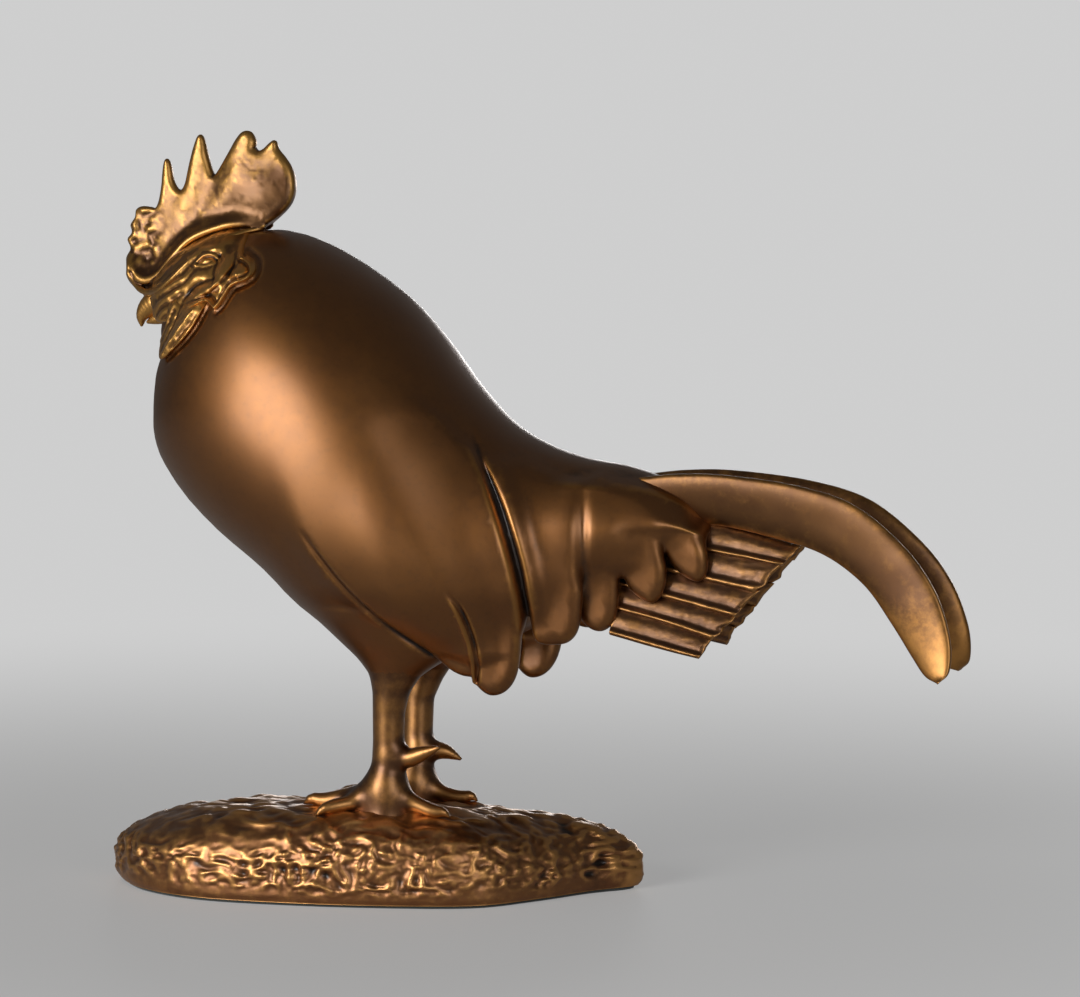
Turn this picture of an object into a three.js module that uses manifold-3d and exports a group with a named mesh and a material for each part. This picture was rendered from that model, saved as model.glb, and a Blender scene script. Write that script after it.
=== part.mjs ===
import * as THREE from "three";
import { mergeVertices } from "three/addons/utils/BufferGeometryUtils.js";
import Module from "manifold-3d";

// Cast bronze rooster on a rock base, cast in sections that are welded together.
// Millimetres. The bird looks along -X, +Z is up, and its left side is -Y.
// The origin is the middle of the felt's underside, where the figure rests.

// Driving dimensions
const birdLength = 378; // from the front of the comb to the tips of the sickles
const birdHeight = 290; // from the top of the rock to the highest point of the comb
const seam = 0.3; // clearance between neighbouring castings
const meshTolerance = 0.1; // facets flatter than this are merged
const bodyGirth = 124; // greatest width of the egg-shaped body
const bodyWall = 5; // casting wall of the body
const neckSpigotRadius = 15; // spigot of the head inside the neck
const neckSpigotLength = 9;
const thighSpigotRadius = 9; // spigot of each thigh inside the belly
const thighSpigotRise = 26; // how far the spigot rises above the thigh's root

const wingHang = 33; // wing lobes hang this far from the middle plane
const wingThickness = 7;
const flankHang = 33;
const flankThickness = 6.5;
const saddleHang = 27;
const saddleThickness = 6.5;
const fanTopSpread = 6; // tail fan's distance from the middle plane, top and bottom
const fanBottomSpread = 21;
const fanThickness = 4;
const fanFeathers = 5;
const sickleThickness = 8;
const sickleTipSpread = 19; // distance of the sickle tips from the middle plane
const sickleSlant = 5; // the lower edge lies this much further out

const combThickness = 8; // at the comb's root, thinner to the points
const combRollRadius = 3.2;
const beakRadius = 6.5; // at the root of the upper half
const wattleThickness = 4;
const wattleSpread = 13; // where they hang free, the wattles lie this far from the middle plane

const legSpacing = 40; // between the two shanks
const legX = 11.8; // left shank's place fore and aft
const rightLead = 1.6; // the right leg stands this far ahead of the left one
const shankThickness = 14;
const toeRadius = 3.9;
const spurRadius = 3.6;
const spurHeight = 24; // above the sole

const rockLength = 230;
const rockWidth = 102;
const rockHeight = 41; // top of the rock under the left foot
const rockTilt = 0.09; // the top falls to the bird's right by this slope
const rockFall = 0.022; // and to both ends by this one
const rockWall = 7.5; // casting wall of the rock, and the flat rim on its underside
const ledgeWidth = 3.5; // ledge that carries the closing plate
const coverThickness = 2.5;
const feltThickness = 1.5;
const feltInset = 2;

const studDiameter = 6;
const studGrip = 18; // length of the stud inside the foot
const studTail = 3; // thread left below the nut
const washerDiameter = 12.5;
const washerThickness = 1.6;
const nutAcrossFlats = 10;
const nutHeight = 5;
const bossDepth = 14; // the boss reaches this far below the foot's sole
const bossMargin = 2.5;
const screwDiameter = 3;
const screwHeadDiameter = 6;
const screwLength = 11;
const postRadius = 5;

const wasm = await Module();
wasm.setup();

const group = new THREE.Group();
const point = (x, y, z) => new THREE.Vector3(x, y, z);
const lerp = THREE.MathUtils.lerp;
const clamp = THREE.MathUtils.clamp;

// Turns a closed geometry into a solid that can be joined and cut
function solid(geometry) {
  const bare = geometry.clone();
  bare.deleteAttribute("normal");
  bare.deleteAttribute("uv");
  const merged = mergeVertices(bare, 1e-4);
  const mesh = new wasm.Mesh({
    numProp: 3,
    vertProperties: Float32Array.from(merged.attributes.position.array),
    triVerts: Uint32Array.from(merged.index.array),
  });
  return new wasm.Manifold(mesh);
}

// Closed skin over rings of equal count, with a fan over each end
function loft(rings) {
  const count = rings[0].length;
  const points = rings.flat();
  const triangles = [];
  for (let i = 0; i + 1 < rings.length; i += 1) {
    for (let j = 0; j < count; j += 1) {
      const a = i * count + j;
      const b = i * count + ((j + 1) % count);
      triangles.push(a, b, b + count, a, b + count, a + count);
    }
  }
  const middle = (ring) => {
    const sum = point(0, 0, 0);
    ring.forEach((p) => sum.add(p));
    return sum.divideScalar(ring.length);
  };
  const last = (rings.length - 1) * count;
  points.push(middle(rings[0]), middle(rings[rings.length - 1]));
  for (let j = 0; j < count; j += 1) {
    const next = (j + 1) % count;
    triangles.push(points.length - 2, next, j);
    triangles.push(points.length - 1, last + j, last + next);
  }
  return skin(points, triangles);
}

// Solid from points and triangles, turned so that its faces look out
function skin(points, triangles) {
  let volume = 0;
  for (let i = 0; i < triangles.length; i += 3) {
    const [a, b, c] = triangles.slice(i, i + 3).map((index) => points[index]);
    volume += a.dot(b.clone().cross(c));
  }
  const index = volume > 0 ? triangles : triangles.slice().reverse();
  const geometry = new THREE.BufferGeometry();
  geometry.setFromPoints(points);
  geometry.setIndex(index);
  return solid(geometry);
}

// Upright cylinder between two heights
function post(x, y, bottom, top, radius, sides = 18) {
  const geometry = new THREE.CylinderGeometry(radius, radius, top - bottom, sides);
  geometry.rotateX(Math.PI / 2);
  geometry.translate(x, y, (bottom + top) / 2);
  return solid(geometry);
}

// The bird's outlines hold places [x, z] of the side view. They are drawn for the length,
// height and ground level given here, and follow the driving dimensions.
const drawnLength = 378;
const drawnHeight = 290;
const drawnGround = 41;
const along = (x) => (x * birdLength) / drawnLength;
const up = (z) => rockHeight + ((z - drawnGround) * birdHeight) / drawnHeight;
const spot = (x, z) => point(along(x), 0, up(z));

const joined = (solids) => solids.reduce((sum, next) => sum.add(next));
const spaced = (count) => Array.from({ length: count + 1 }, (_, i) => i / count);

// Metals and felt
const finishes = {
  patina: { color: 0x6b3f1e, roughness: 0.38, metalness: 0.9 },
  gold: { color: 0xa87532, roughness: 0.4, metalness: 0.9 },
  rock: { color: 0x7d5228, roughness: 0.5, metalness: 0.85 },
  steel: { color: 0xb4b6b8, roughness: 0.35, metalness: 1 },
  felt: { color: 0x1f2320, roughness: 0.95, metalness: 0 },
};

function add(name, body, finish) {
  const data = body.simplify(meshTolerance).getMesh();
  const geometry = new THREE.BufferGeometry();
  geometry.setAttribute("position", new THREE.BufferAttribute(data.vertProperties, 3));
  geometry.setIndex(new THREE.BufferAttribute(data.triVerts, 1));
  geometry.computeVertexNormals();
  const mesh = new THREE.Mesh(geometry, new THREE.MeshStandardMaterial(finishes[finish]));
  mesh.name = name;
  group.add(mesh);
}

// Left pieces are made at -Y and right pieces at +Y
const sides = [
  { name: "left", sign: -1 },
  { name: "right", sign: 1 },
];

// A hull is a loft over slanting stations. Each station runs from the top line
// [x, z] to the bottom line [x, z] and is an oval with the half width w.
function hull(stations, roundness) {
  const line = (pick) => new THREE.CatmullRomCurve3(stations.map(pick));
  const topLine = line((s) => spot(...s.top));
  const bottomLine = line((s) => spot(...s.bottom));
  const widthLine = line((s, i) => point(i, 0, s.w));

  const section = (t) => {
    const top = topLine.getPoint(t);
    const bottom = bottomLine.getPoint(t);
    const half = bottom.clone().sub(top).multiplyScalar(0.5);
    return { middle: top.clone().add(half), half, width: widthLine.getPoint(t).z };
  };

  const [start, end] = [section(0), section(1)];
  const heading = Math.sign(point(-start.half.z, 0, start.half.x).dot(end.middle.clone().sub(start.middle)));

  const ring = (t, count, grow, shift) => {
    const { middle, half, width } = section(t);
    const down = half.clone().normalize();
    const ahead = point(-down.z, 0, down.x).multiplyScalar(shift);
    const power = 2 / roundness;
    return spaced(count).slice(0, count).map((turn) => {
      const c = Math.cos(turn * 2 * Math.PI);
      const s = Math.sin(turn * 2 * Math.PI);
      const reach = Math.sign(c) * Math.abs(c) ** power * (half.length() + grow);
      const p = middle.clone().addScaledVector(down, reach).add(ahead);
      p.y = Math.sign(s) * Math.abs(s) ** power * (width + grow);
      return p;
    });
  };

  // Half width of the hull at a point of the side view, and how far down its
  // station the point lies, from -1 at the top line to 1 at the bottom line
  const locate = (x, z, grow = 0) => {
    const ahead = (t) => {
      const { middle, half } = section(t);
      return half.x * (z - middle.z) - half.z * (x - middle.x);
    };
    let [low, high] = [0, 1];
    const sense = Math.sign(ahead(0)) || 1;
    for (let i = 0; i < 24; i += 1) {
      const t = (low + high) / 2;
      if (ahead(t) * sense > 0) low = t;
      else high = t;
    }
    const { middle, half, width } = section(low);
    const lengthwise = (x - middle.x) * half.x + (z - middle.z) * half.z;
    const depth = lengthwise / half.length() / (half.length() + grow);
    const inside = Math.abs(depth) < 1 && ahead(1) * sense < 0;
    const share = inside ? (1 - Math.abs(depth) ** roundness) ** (1 / roundness) : 0;
    return { depth, width: (width + grow) * share };
  };

  const make = (steps, count, { grow = 0, from = 0, to = 1, reach = grow } = {}) => {
    const rings = spaced(steps).map((t) => ring(lerp(from, to, t), count, grow, 0));
    rings[0] = ring(from, count, grow, -reach * heading);
    rings[steps] = ring(to, count, grow, reach * heading);
    return loft(rings);
  };
  return { section, locate, make };
}

// Rails of a feather are splines through [x, z] points of the side view
function rail(points) {
  return new THREE.SplineCurve(points.map(([x, z]) => new THREE.Vector2(along(x), up(z))));
}

// A feather is a strip between two rails that end in a round tip. outer and inner
// give the distance of its two faces from the middle plane.
function feather({ front, rear, steps, across, outer, inner, sign, grow = 0 }) {
  const frontRail = rail(front);
  const rearRail = rail(rear);
  const rings = spaced(steps).map((step) => {
    const t = 1 - (1 - step) ** 1.6;
    const a = frontRail.getPoint(t);
    const b = rearRail.getPoint(t);
    const cross = b.clone().sub(a).normalize().multiplyScalar(grow);
    a.sub(cross);
    b.add(cross);
    const at = (v, face) => {
      const u = (1 - Math.cos(v * Math.PI)) / 2;
      const p = a.clone().lerp(b, u);
      const bulge = Math.sin(v * Math.PI) ** 0.6;
      return point(p.x, sign * face({ x: p.x, z: p.y, t, u, bulge }), p.y);
    };
    const places = spaced(across);
    const outside = places.map((v) => at(v, (place) => outer(place) + grow));
    const inside = places.reverse().map((v) => at(v, (place) => inner(place) - grow));
    return [...outside, ...inside];
  });
  return loft(rings);
}

// Body: one egg from the neck down to the rump
const bodyStations = [
  { top: [-53, 288.6], bottom: [-97.5, 232], share: 0.45 },
  { top: [-42, 288.4], bottom: [-100, 217], share: 0.62 },
  { top: [-26, 283.7], bottom: [-98.7, 193], share: 0.8 },
  { top: [-6, 272.9], bottom: [-87.2, 174], share: 0.93 },
  { top: [13, 259], bottom: [-69.5, 156.5], share: 0.99 },
  { top: [29, 241.6], bottom: [-48, 140], share: 1 },
  { top: [44, 222.6], bottom: [-29, 122.5], share: 0.95 },
  { top: [60, 207], bottom: [-4, 108.5], share: 0.86 },
  { top: [77, 198], bottom: [31, 105], share: 0.74 },
  { top: [94, 193], bottom: [62, 114], share: 0.61 },
  { top: [111, 190.6], bottom: [92, 131], share: 0.47 },
  { top: [125, 187], bottom: [112, 143], share: 0.36 },
  { top: [135, 183.4], bottom: [128, 150], share: 0.27 },
  { top: [143.5, 178.4], bottom: [138, 154], share: 0.2 },
];
const body = hull(
  bodyStations.map((s) => ({ ...s, w: (s.share * bodyGirth) / 2 })),
  2.15,
);
const bodyClearance = body.make(24, 28, { grow: seam });

// Follows the body's side down to where it curves in, then hangs free
function drape(hang, grow, least = 0) {
  const softness = 5;
  return (x, z) => {
    const { width, depth } = body.locate(x, z, grow);
    const free = Math.max(hang * THREE.MathUtils.smoothstep(depth, -0.9, 0.2), least);
    const blend = clamp(0.5 + (width - free) / (2 * softness), 0, 1);
    return lerp(free, width, blend) + softness * blend * (1 - blend);
  };
}

// A lobe lies on the body with a thin step at its edge and swells towards its tip
const edgeStep = 1.6; // how far a lobe's edge stands off the body
const curveAllowance = 0.6; // keeps the flat facets of two curved faces apart

function lobe({ front, rear, hang, least = 0, thickness, steps, across, sign }) {
  const over = drape(hang, edgeStep, least + edgeStep);
  const swell = (t) => (thickness - edgeStep) * lerp(0.25, 0.6, clamp(t * 2, 0, 1));
  const outer = ({ x, z, t, bulge }) => over(x, z) + swell(t) * bulge;
  const inner = ({ x, z, bulge }) => {
    const seat = body.locate(x, z, seam + curveAllowance).width;
    return Math.max(seat, least, over(x, z) - thickness * lerp(0.35, 0.7, bulge));
  };
  return feather({ front, rear, steps, across, outer, inner, sign });
}

// Rock: a low dome over an irregular outline. Places on it are drawn as [x, y] on the
// ground for this size of rock, and follow its length and width.
const drawnRock = { length: 230, width: 102 };
const rockPlace = ([x, y]) => [(x * rockLength) / drawnRock.length, (y * rockWidth) / drawnRock.width];
const rockOutline = [
  [108, 40], [94, 50], [60, 50], [20, 50], [-20, 48], [-55, 43], [-90, 31], [-114, 15],
  [-122, -3], [-117, -19], [-98, -40], [-66, -52], [-18, -51], [26, -43], [58, -31],
  [78, -8], [95, 17], [108, 31],
];
const rockCurve = new THREE.SplineCurve(
  [...rockOutline, rockOutline[0]].map(rockPlace).map(([x, y]) => new THREE.Vector2(x, y)),
);
const rockPolar = rockCurve
  .getPoints(360)
  .map((p) => ({ angle: Math.atan2(p.y, p.x), reach: p.length() }))
  .sort((a, b) => a.angle - b.angle);

function rockReach(angle) {
  const after = rockPolar.findIndex((p) => p.angle > angle);
  if (after <= 0) return rockPolar[0].reach;
  const a = rockPolar[after - 1];
  const b = rockPolar[after];
  return lerp(a.reach, b.reach, (angle - a.angle) / (b.angle - a.angle));
}

// Height of the rock's skin over the share of the way from the middle to the edge
const rockProfile = new THREE.SplineCurve(
  [
    [0, 1], [0.4, 0.97], [0.62, 0.915], [0.78, 0.825], [0.9, 0.69], [0.97, 0.53], [0.995, 0.37],
    [1, 0.21], [1, 0.08], [0.985, 0],
  ].map(([share, rise]) => new THREE.Vector2(share, rise)),
);

function rockLumps(x, y) {
  const long = Math.sin(x * 0.11 + 1.3) * Math.sin(y * 0.16 + 0.4);
  const short = Math.sin(x * 0.31 + y * 0.12) * Math.sin(y * 0.37 - x * 0.05 + 2);
  return 0.9 * long + 0.6 * short;
}

const rockFloor = feltThickness;

function rockPoint(angle, t, inset) {
  const { x: share, y: rise } = rockProfile.getPoint(t);
  const reach = Math.max(rockReach(angle) * share - inset * share, 0.5);
  const x = reach * Math.cos(angle);
  const y = reach * Math.sin(angle);
  const fall = rockTilt * (y + legSpacing / 2) + rockFall * Math.abs(x - legX);
  const crown = rockHeight - rockFloor - fall;
  const z = rockFloor + rise * crown + rockLumps(x, y) * rise - inset * rise;
  return point(x, y, Math.max(z, rockFloor));
}

// Height of the rock at a place on its top
function rockTop(x, y) {
  const angle = Math.atan2(y, x);
  let [low, high] = [0, 0.5];
  for (let i = 0; i < 20; i += 1) {
    const t = (low + high) / 2;
    const p = rockPoint(angle, t, 0);
    if (Math.hypot(p.x, p.y) < Math.hypot(x, y)) low = t;
    else high = t;
  }
  return rockPoint(angle, low, 0).z;
}

function rockDome(inset, around, levels) {
  const angles = spaced(around).slice(0, around).map((turn) => (turn * 2 - 1) * Math.PI + 1e-3);
  const rings = spaced(levels).map((level) => angles.map((angle) => rockPoint(angle, level, inset)));
  return loft(rings);
}

function outlinePlate(inset, bottom, thickness) {
  const around = 52;
  const shape = new THREE.Shape(
    spaced(around).slice(0, around).map((turn) => {
      const p = rockPoint((turn * 2 - 1) * Math.PI + 1e-3, 1, 0);
      const reach = Math.hypot(p.x, p.y);
      return new THREE.Vector2(p.x, p.y).multiplyScalar((reach - inset) / reach);
    }),
  );
  const geometry = new THREE.ExtrudeGeometry(shape, { depth: thickness, bevelEnabled: false });
  geometry.translate(0, 0, bottom);
  return solid(geometry);
}

// Feet stand on the rock, and each stud drops from a sole to a boss inside it
// The two spurs aren't alike: how far each reaches back and rises to its tip
const spurs = {
  left: { reach: 24, rise: 4.6 },
  right: { reach: 18, rise: -4.4 },
};
const feet = sides.map(({ name, sign }) => {
  const x = sign > 0 ? legX - rightLead : legX;
  const y = (sign * legSpacing) / 2;
  const sole = rockTop(x, y);
  return { name, sign, x, y, sole, bossFace: sole - bossDepth };
});

function leg({ sign, x, y, sole }, grow = 0) {
  const half = shankThickness / 2 + grow;
  const lean = 0.02 * (rockHeight - sole);
  const splay = 0.03; // the legs spread by this slope towards the belly
  // Height, place behind the shank, half length and half width of each ring
  const rings = [
    [up(136), 8.2, half + 17, half + 9],
    [up(124), 5.2, half + 19, half + 9],
    [up(114), 5.7, half + 15.5, half + 7.5],
    [up(106), 5.7, half + 10.5, half + 5],
    [up(99), 3.7, half + 5, half + 2.4],
    [up(92), 1.8, half + 1.4, half + 0.8],
    [up(83), 0, half, half - 0.1],
    [sole + 30, 0, half, half - 0.3],
    [sole + 18, -0.3, half + 0.5, half],
    [sole + 10, -1, half + 1.6, half + 1.2],
    [sole + 4, -1.6, half + 3.2, half + 2.6],
    [sole - 2, -2, half + 4.6, half + 4],
  ];
  return loft(
    rings.map(([z, behind, rx, ry]) =>
      spaced(14).slice(0, 14).map((turn) => {
        const a = turn * 2 * Math.PI;
        const middle = point(x + behind + lean, y + sign * splay * (z - sole), z);
        return middle.add(point(rx * Math.cos(a), ry * Math.sin(a), 0));
      }),
    ),
  );
}

// Round limb along a line of points, with one radius at each of them
function limb(points, radii, count = 8, steps = 7) {
  const path = new THREE.CatmullRomCurve3(points);
  const girth = new THREE.SplineCurve(radii.map((r, i) => new THREE.Vector2(i, r)));
  return loft(
    spaced(steps).map((t) => {
      const centre = path.getPoint(t);
      const heading = path.getTangent(t);
      const across = point(-heading.y, heading.x, 0).normalize();
      const over = heading.clone().cross(across);
      const radius = girth.getPoint(t).y;
      return spaced(count).slice(0, count).map((turn) => {
        const a = turn * 2 * Math.PI;
        return centre
          .clone()
          .addScaledVector(across, radius * Math.cos(a))
          .addScaledVector(over, radius * Math.sin(a));
      });
    }),
  );
}

// A toe leaves the foot, lies on the rock and ends in a claw that bends down to it
function toe(place, reachX, reachY, root = 9) {
  const at = (share, lift) => {
    const x = place.x + lerp(-2, reachX, share);
    const y = place.y + place.sign * reachY * share;
    return point(x, y, rockTop(x, y) + lift);
  };
  const line = [
    at(0, root),
    at(0.3, toeRadius * 1.6),
    at(0.6, toeRadius * 0.75),
    at(0.82, toeRadius * 0.8),
    at(1, toeRadius * 0.1),
  ];
  return limb(line, [toeRadius * 1.7, toeRadius * 1.25, toeRadius, toeRadius * 0.72, 0.5]);
}

function legWithFoot(place) {
  const { name, sign, x, y, sole } = place;
  const { reach, rise } = spurs[name];
  const spurStart = sole + spurHeight;
  const at = (share, lift) =>
    point(x + lerp(shankThickness * 0.2, reach, share), y + sign * 4.5 * share, spurStart + lift);
  const spur = limb(
    [at(0, 0), at(0.35, -0.4), at(0.65, rise * 0.4), at(1, rise)],
    [spurRadius * 1.5, spurRadius * 1.15, spurRadius * 0.85, 0.7],
  );
  return joined([
    leg(place),
    spur,
    toe(place, -37, 2),
    toe(place, -27, 15),
    toe(place, -30, -13),
    toe(place, 28, 1),
  ]);
}

// Wing: a front and a rear lobe on either side of a slanting seam
const beside = (line, gap) => line.map(([x, z]) => [x + gap, z]);
const groove = 2.4 * seam;
const wingSplit = [[8, 229], [13, 211], [19, 192], [28, 172], [39, 152], [51, 134], [60, 117]];

function wingFront(sign) {
  return lobe({
    front: [[-4, 227], [-16, 207], [-19, 185], [-11, 161], [4, 140.5], [21, 123], [40, 106], [52.5, 99.8]],
    rear: [...wingSplit, [60, 106], [57.5, 99.8]],
    hang: wingHang,
    thickness: wingThickness,
    steps: 15,
    across: 7,
    sign,
  });
}

function wingRear(sign) {
  return lobe({
    front: [...beside(wingSplit, groove), [61, 101.5], [66, 93.4]],
    rear: [
      [26, 227], [40, 217], [53, 204], [63, 187], [70, 171], [75.5, 155], [79, 139], [80, 121],
      [77.5, 103], [71, 93.4],
    ],
    hang: wingHang - 1,
    thickness: wingThickness,
    steps: 15,
    across: 7,
    sign,
  });
}

function flankFeather(sign) {
  return lobe({
    front: [[61, 200], [67, 187.5], [73.5, 171.5], [78.5, 155], [81.5, 139], [83.5, 124.5], [91, 117.6]],
    rear: [[84, 190], [94, 183], [99.5, 171], [101.5, 154], [102, 136], [101, 123.5], [96, 117.6]],
    hang: flankHang,
    thickness: flankThickness,
    steps: 12,
    across: 6,
    sign,
  });
}

// Saddle: three lobes on each side, each nearer the middle plane than the one before
const saddleSplits = [
  [[111, 182], [115.5, 174], [118.5, 162], [119.5, 149]],
  [[118, 181.5], [127, 177], [134, 168], [138, 157]],
];
const saddleLobes = [
  {
    name: "front",
    front: [[103.5, 182], [104, 172], [104, 158], [104, 142], [105, 130], [109, 123.3]],
    rear: [...saddleSplits[0], [117.5, 132], [113, 123.3]],
    hang: saddleHang + 2,
  },
  {
    name: "middle",
    front: [...beside(saddleSplits[0], groove), [121, 142.5], [127.5, 134.7]],
    rear: [...saddleSplits[1], [137, 145], [131.5, 134.7]],
    hang: saddleHang,
  },
  {
    name: "rear",
    front: [...beside(saddleSplits[1], groove), [141, 151], [147, 145.2]],
    rear: [[125, 184], [141, 179.5], [150, 171.5], [155, 161.5], [154, 151], [150.5, 145.2]],
    hang: saddleHang - 4,
  },
];

function saddleLobe({ front, rear, hang }, sign) {
  const least = sickleThickness + sickleSlant + 1;
  const thickness = saddleThickness;
  return lobe({ front, rear, hang, least, thickness, steps: 9, across: 6, sign });
}

// Sickle: its top edge starts at the middle plane and its tip swings out
function sickle(sign, grow = 0) {
  const half = sickleThickness / 2;
  const swing = (t) => seam + half + t ** 1.5 * (sickleTipSpread - half);
  const middle = ({ t, u }) => swing(t) + u * sickleSlant * (1 - t / 2);
  return feather({
    front: [
      [118, 186], [138, 188.5], [160, 188.5], [192, 185], [217, 177.5], [238.5, 161.3], [251.8, 144],
      [259.5, 124], [259.5, 107],
    ],
    rear: [
      [116, 162], [136, 166], [156, 167], [180, 163], [202, 157], [221.5, 143.5], [234, 127],
      [244, 112.5], [252.5, 104],
    ],
    steps: 16,
    across: 6,
    outer: (place) => middle(place) + half * lerp(1, 0.6, place.t) * place.bulge + 0.1,
    inner: (place) => middle(place) - half * lerp(0.9, 0.6, place.t) * place.bulge,
    sign,
    grow,
  });
}

// Tail fan: overlapping feathers, the lower edge of each standing proud
function tailFan(sign) {
  const topEdge = [[120, 170], [150, 166], [191.5, 158]];
  const bottomEdge = [[109, 121], [130, 116], [152, 111.5]];
  const between = (share, drop) =>
    topEdge.map(([x, z], i) => [
      lerp(bottomEdge[i][0], x, share) + drop * i,
      lerp(bottomEdge[i][1], z, share),
    ]);
  const half = fanThickness / 2;
  const width = 1 / fanFeathers;
  const feathers = spaced(fanFeathers).slice(0, fanFeathers).map((share) => {
    const middle = ({ u }) =>
      lerp(fanBottomSpread, fanTopSpread, share + width * u) + half * (0.4 - 0.8 * u);
    return feather({
      front: between(share, 0),
      rear: between(share + width * 1.15, -width * 9),
      steps: 5,
      across: 4,
      outer: (place) => middle(place) + half * lerp(0.3, 1, place.bulge),
      inner: (place) => middle(place) - half * lerp(0.3, 1, place.bulge),
      sign,
    });
  });
  return joined(feathers);
}

// Head: it carries on the body's egg in front of the neck joint
const headStations = [
  { top: [-54, 288], bottom: [-98.5, 233], w: 29 },
  { top: [-64, 289], bottom: [-100, 240], w: 27 },
  { top: [-77, 286], bottom: [-101.5, 245], w: 22.5 },
  { top: [-90, 279], bottom: [-103, 248], w: 17 },
  { top: [-99, 271], bottom: [-105, 249.5], w: 11.5 },
  { top: [-106, 264], bottom: [-108, 252], w: 7 },
  { top: [-110, 259], bottom: [-110.5, 255], w: 3 },
];
const head = hull(headStations, 2.1);
const headClearance = head.make(11, 22, { grow: seam });

function headCasting() {
  const { middle, half } = head.section(0);
  const inward = point(-half.z, 0, half.x).normalize();
  const spigot = limb(
    [
      middle.clone().addScaledVector(inward, neckSpigotLength),
      middle.clone().addScaledVector(inward, -neckSpigotLength),
    ],
    [neckSpigotRadius, neckSpigotRadius],
    24,
    1,
  );
  return { spigotMiddle: middle, inward, casting: head.make(11, 22).add(spigot) };
}

// Comb: a blade with five points, thinner towards them, on a rolled base
const combStations = [
  { top: [-128, 244], bottom: [-22, 282], w: combThickness * 0.5 },
  { top: [-132, 266], bottom: [-24, 304], w: combThickness * 0.45 },
  { top: [-136, 290], bottom: [-26, 328], w: combThickness * 0.36 },
  { top: [-140, 320], bottom: [-30, 356], w: combThickness * 0.2 },
];

function comb() {
  // Each stretch of the outline is a curve: its pull, then its end
  const stretches = [
    [[-117.5, 263], [-115.6, 271]], [[-118.5, 276], [-115, 280]], [[-118, 286], [-114, 290]],
    [[-115.5, 296.5], [-110, 298]], [[-107, 298.5], [-103.6, 297.6]],
    [[-101, 306], [-98.3, 318.4]], [[-96.4, 309], [-91.6, 305.6]],
    [[-87.5, 312], [-82.6, 329]], [[-79, 318], [-75.4, 311.6]],
    [[-69, 321], [-62.3, 330.9]], [[-58, 332.5], [-57, 327]],
    [[-56.5, 322.5], [-54.5, 322.4]], [[-50.5, 323.5], [-47.4, 327]],
    [[-37, 317], [-38, 308]], [[-39, 302.5], [-47, 297.5]],
    [[-52, 289], [-62, 286.5]], [[-72, 283], [-82, 277]], [[-98, 268], [-106, 259]],
  ];
  const shape = new THREE.Shape();
  shape.moveTo(along(-110), up(260));
  stretches.forEach(([[pullX, pullZ], [endX, endZ]]) =>
    shape.quadraticCurveTo(along(pullX), up(pullZ), along(endX), up(endZ)),
  );
  const depth = combThickness * 2;
  const plate = new THREE.ExtrudeGeometry(shape, { depth, curveSegments: 3, bevelEnabled: false });
  plate.translate(0, 0, -depth / 2);
  plate.rotateX(Math.PI / 2);
  const blade = hull(combStations, 3).make(4, 20);
  return solid(plate).intersect(blade);
}

function combRoll() {
  return limb(
    [
      spot(-113, 264), spot(-104, 266), spot(-96, 274), spot(-86, 281),
      spot(-74, 286), spot(-62, 288), spot(-52, 289),
    ],
    [1.3, 1.6, 1.5, 1.4, 1.3, 1.1, 0.6].map((share) => share * combRollRadius),
    10,
    12,
  );
}

// Beak: the upper half hooks over the lower one
function beakUpper() {
  const line = [spot(-100, 259), spot(-106, 258.5), spot(-111.5, 255), spot(-114, 250), spot(-113, 245)];
  return limb(line, [1, 0.86, 0.65, 0.4, 0.11].map((share) => share * beakRadius), 12, 7);
}

function beakLower() {
  const line = [spot(-96, 251), spot(-102, 250), spot(-107, 248.5), spot(-110.2, 247)];
  return limb(line, [0.7, 0.58, 0.42, 0.12].map((share) => share * beakRadius), 10, 6);
}

function wattle(sign) {
  const skull = ({ x, z }) => Math.max(head.locate(x, z).width, wattleSpread);
  const half = wattleThickness / 2;
  return feather({
    front: [[-101, 256], [-98.5, 249], [-96, 243], [-93.5, 238], [-91, 234]],
    rear: [[-80, 258], [-78.5, 253], [-81, 246], [-84.5, 240], [-88.5, 234]],
    steps: 6,
    across: 5,
    outer: (place) => skull(place) + edgeStep + half * place.bulge,
    inner: (place) => skull(place) - half * place.bulge,
    sign,
  });
}

// Threaded studs, washers and nuts under the feet
const studRadius = studDiameter / 2;
const washerTopOf = (foot) => foot.bossFace;
const nutTopOf = (foot) => foot.bossFace - washerThickness;
const studBottomOf = (foot) => nutTopOf(foot) - nutHeight - studTail;

function stud(foot) {
  const top = foot.sole + studGrip;
  const bottom = studBottomOf(foot);
  const chamfer = studRadius * 0.25;
  const profile = [
    [0, bottom], [studRadius - chamfer, bottom], [studRadius, bottom + chamfer],
    [studRadius, top - chamfer], [studRadius - chamfer, top], [0, top],
  ].map(([r, z]) => new THREE.Vector2(r, z));
  const geometry = new THREE.LatheGeometry(profile, 18);
  geometry.rotateX(Math.PI / 2);
  geometry.translate(foot.x, foot.y, 0);
  return solid(geometry);
}

const studHole = (foot, bottom, top) => post(foot.x, foot.y, bottom, top, studRadius + seam);

function washer(foot) {
  const top = washerTopOf(foot);
  const disc = post(foot.x, foot.y, top - washerThickness, top, washerDiameter / 2);
  return disc.subtract(studHole(foot, top - washerThickness - 1, top + 1));
}

function nut(foot) {
  const top = nutTopOf(foot);
  const block = post(foot.x, foot.y, top - nutHeight, top, nutAcrossFlats / Math.sqrt(3), 6);
  return block.subtract(studHole(foot, top - nutHeight - 1, top + 1));
}

// Closing plate: it lies in a rebate, held by countersunk screws in posts
const coverInset = rockWall - ledgeWidth;
const coverTop = rockFloor + coverThickness;
const screwPlaces = [[-96, 8], [-62, -33], [40, 34], [52, -16]].map(rockPlace);

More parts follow.
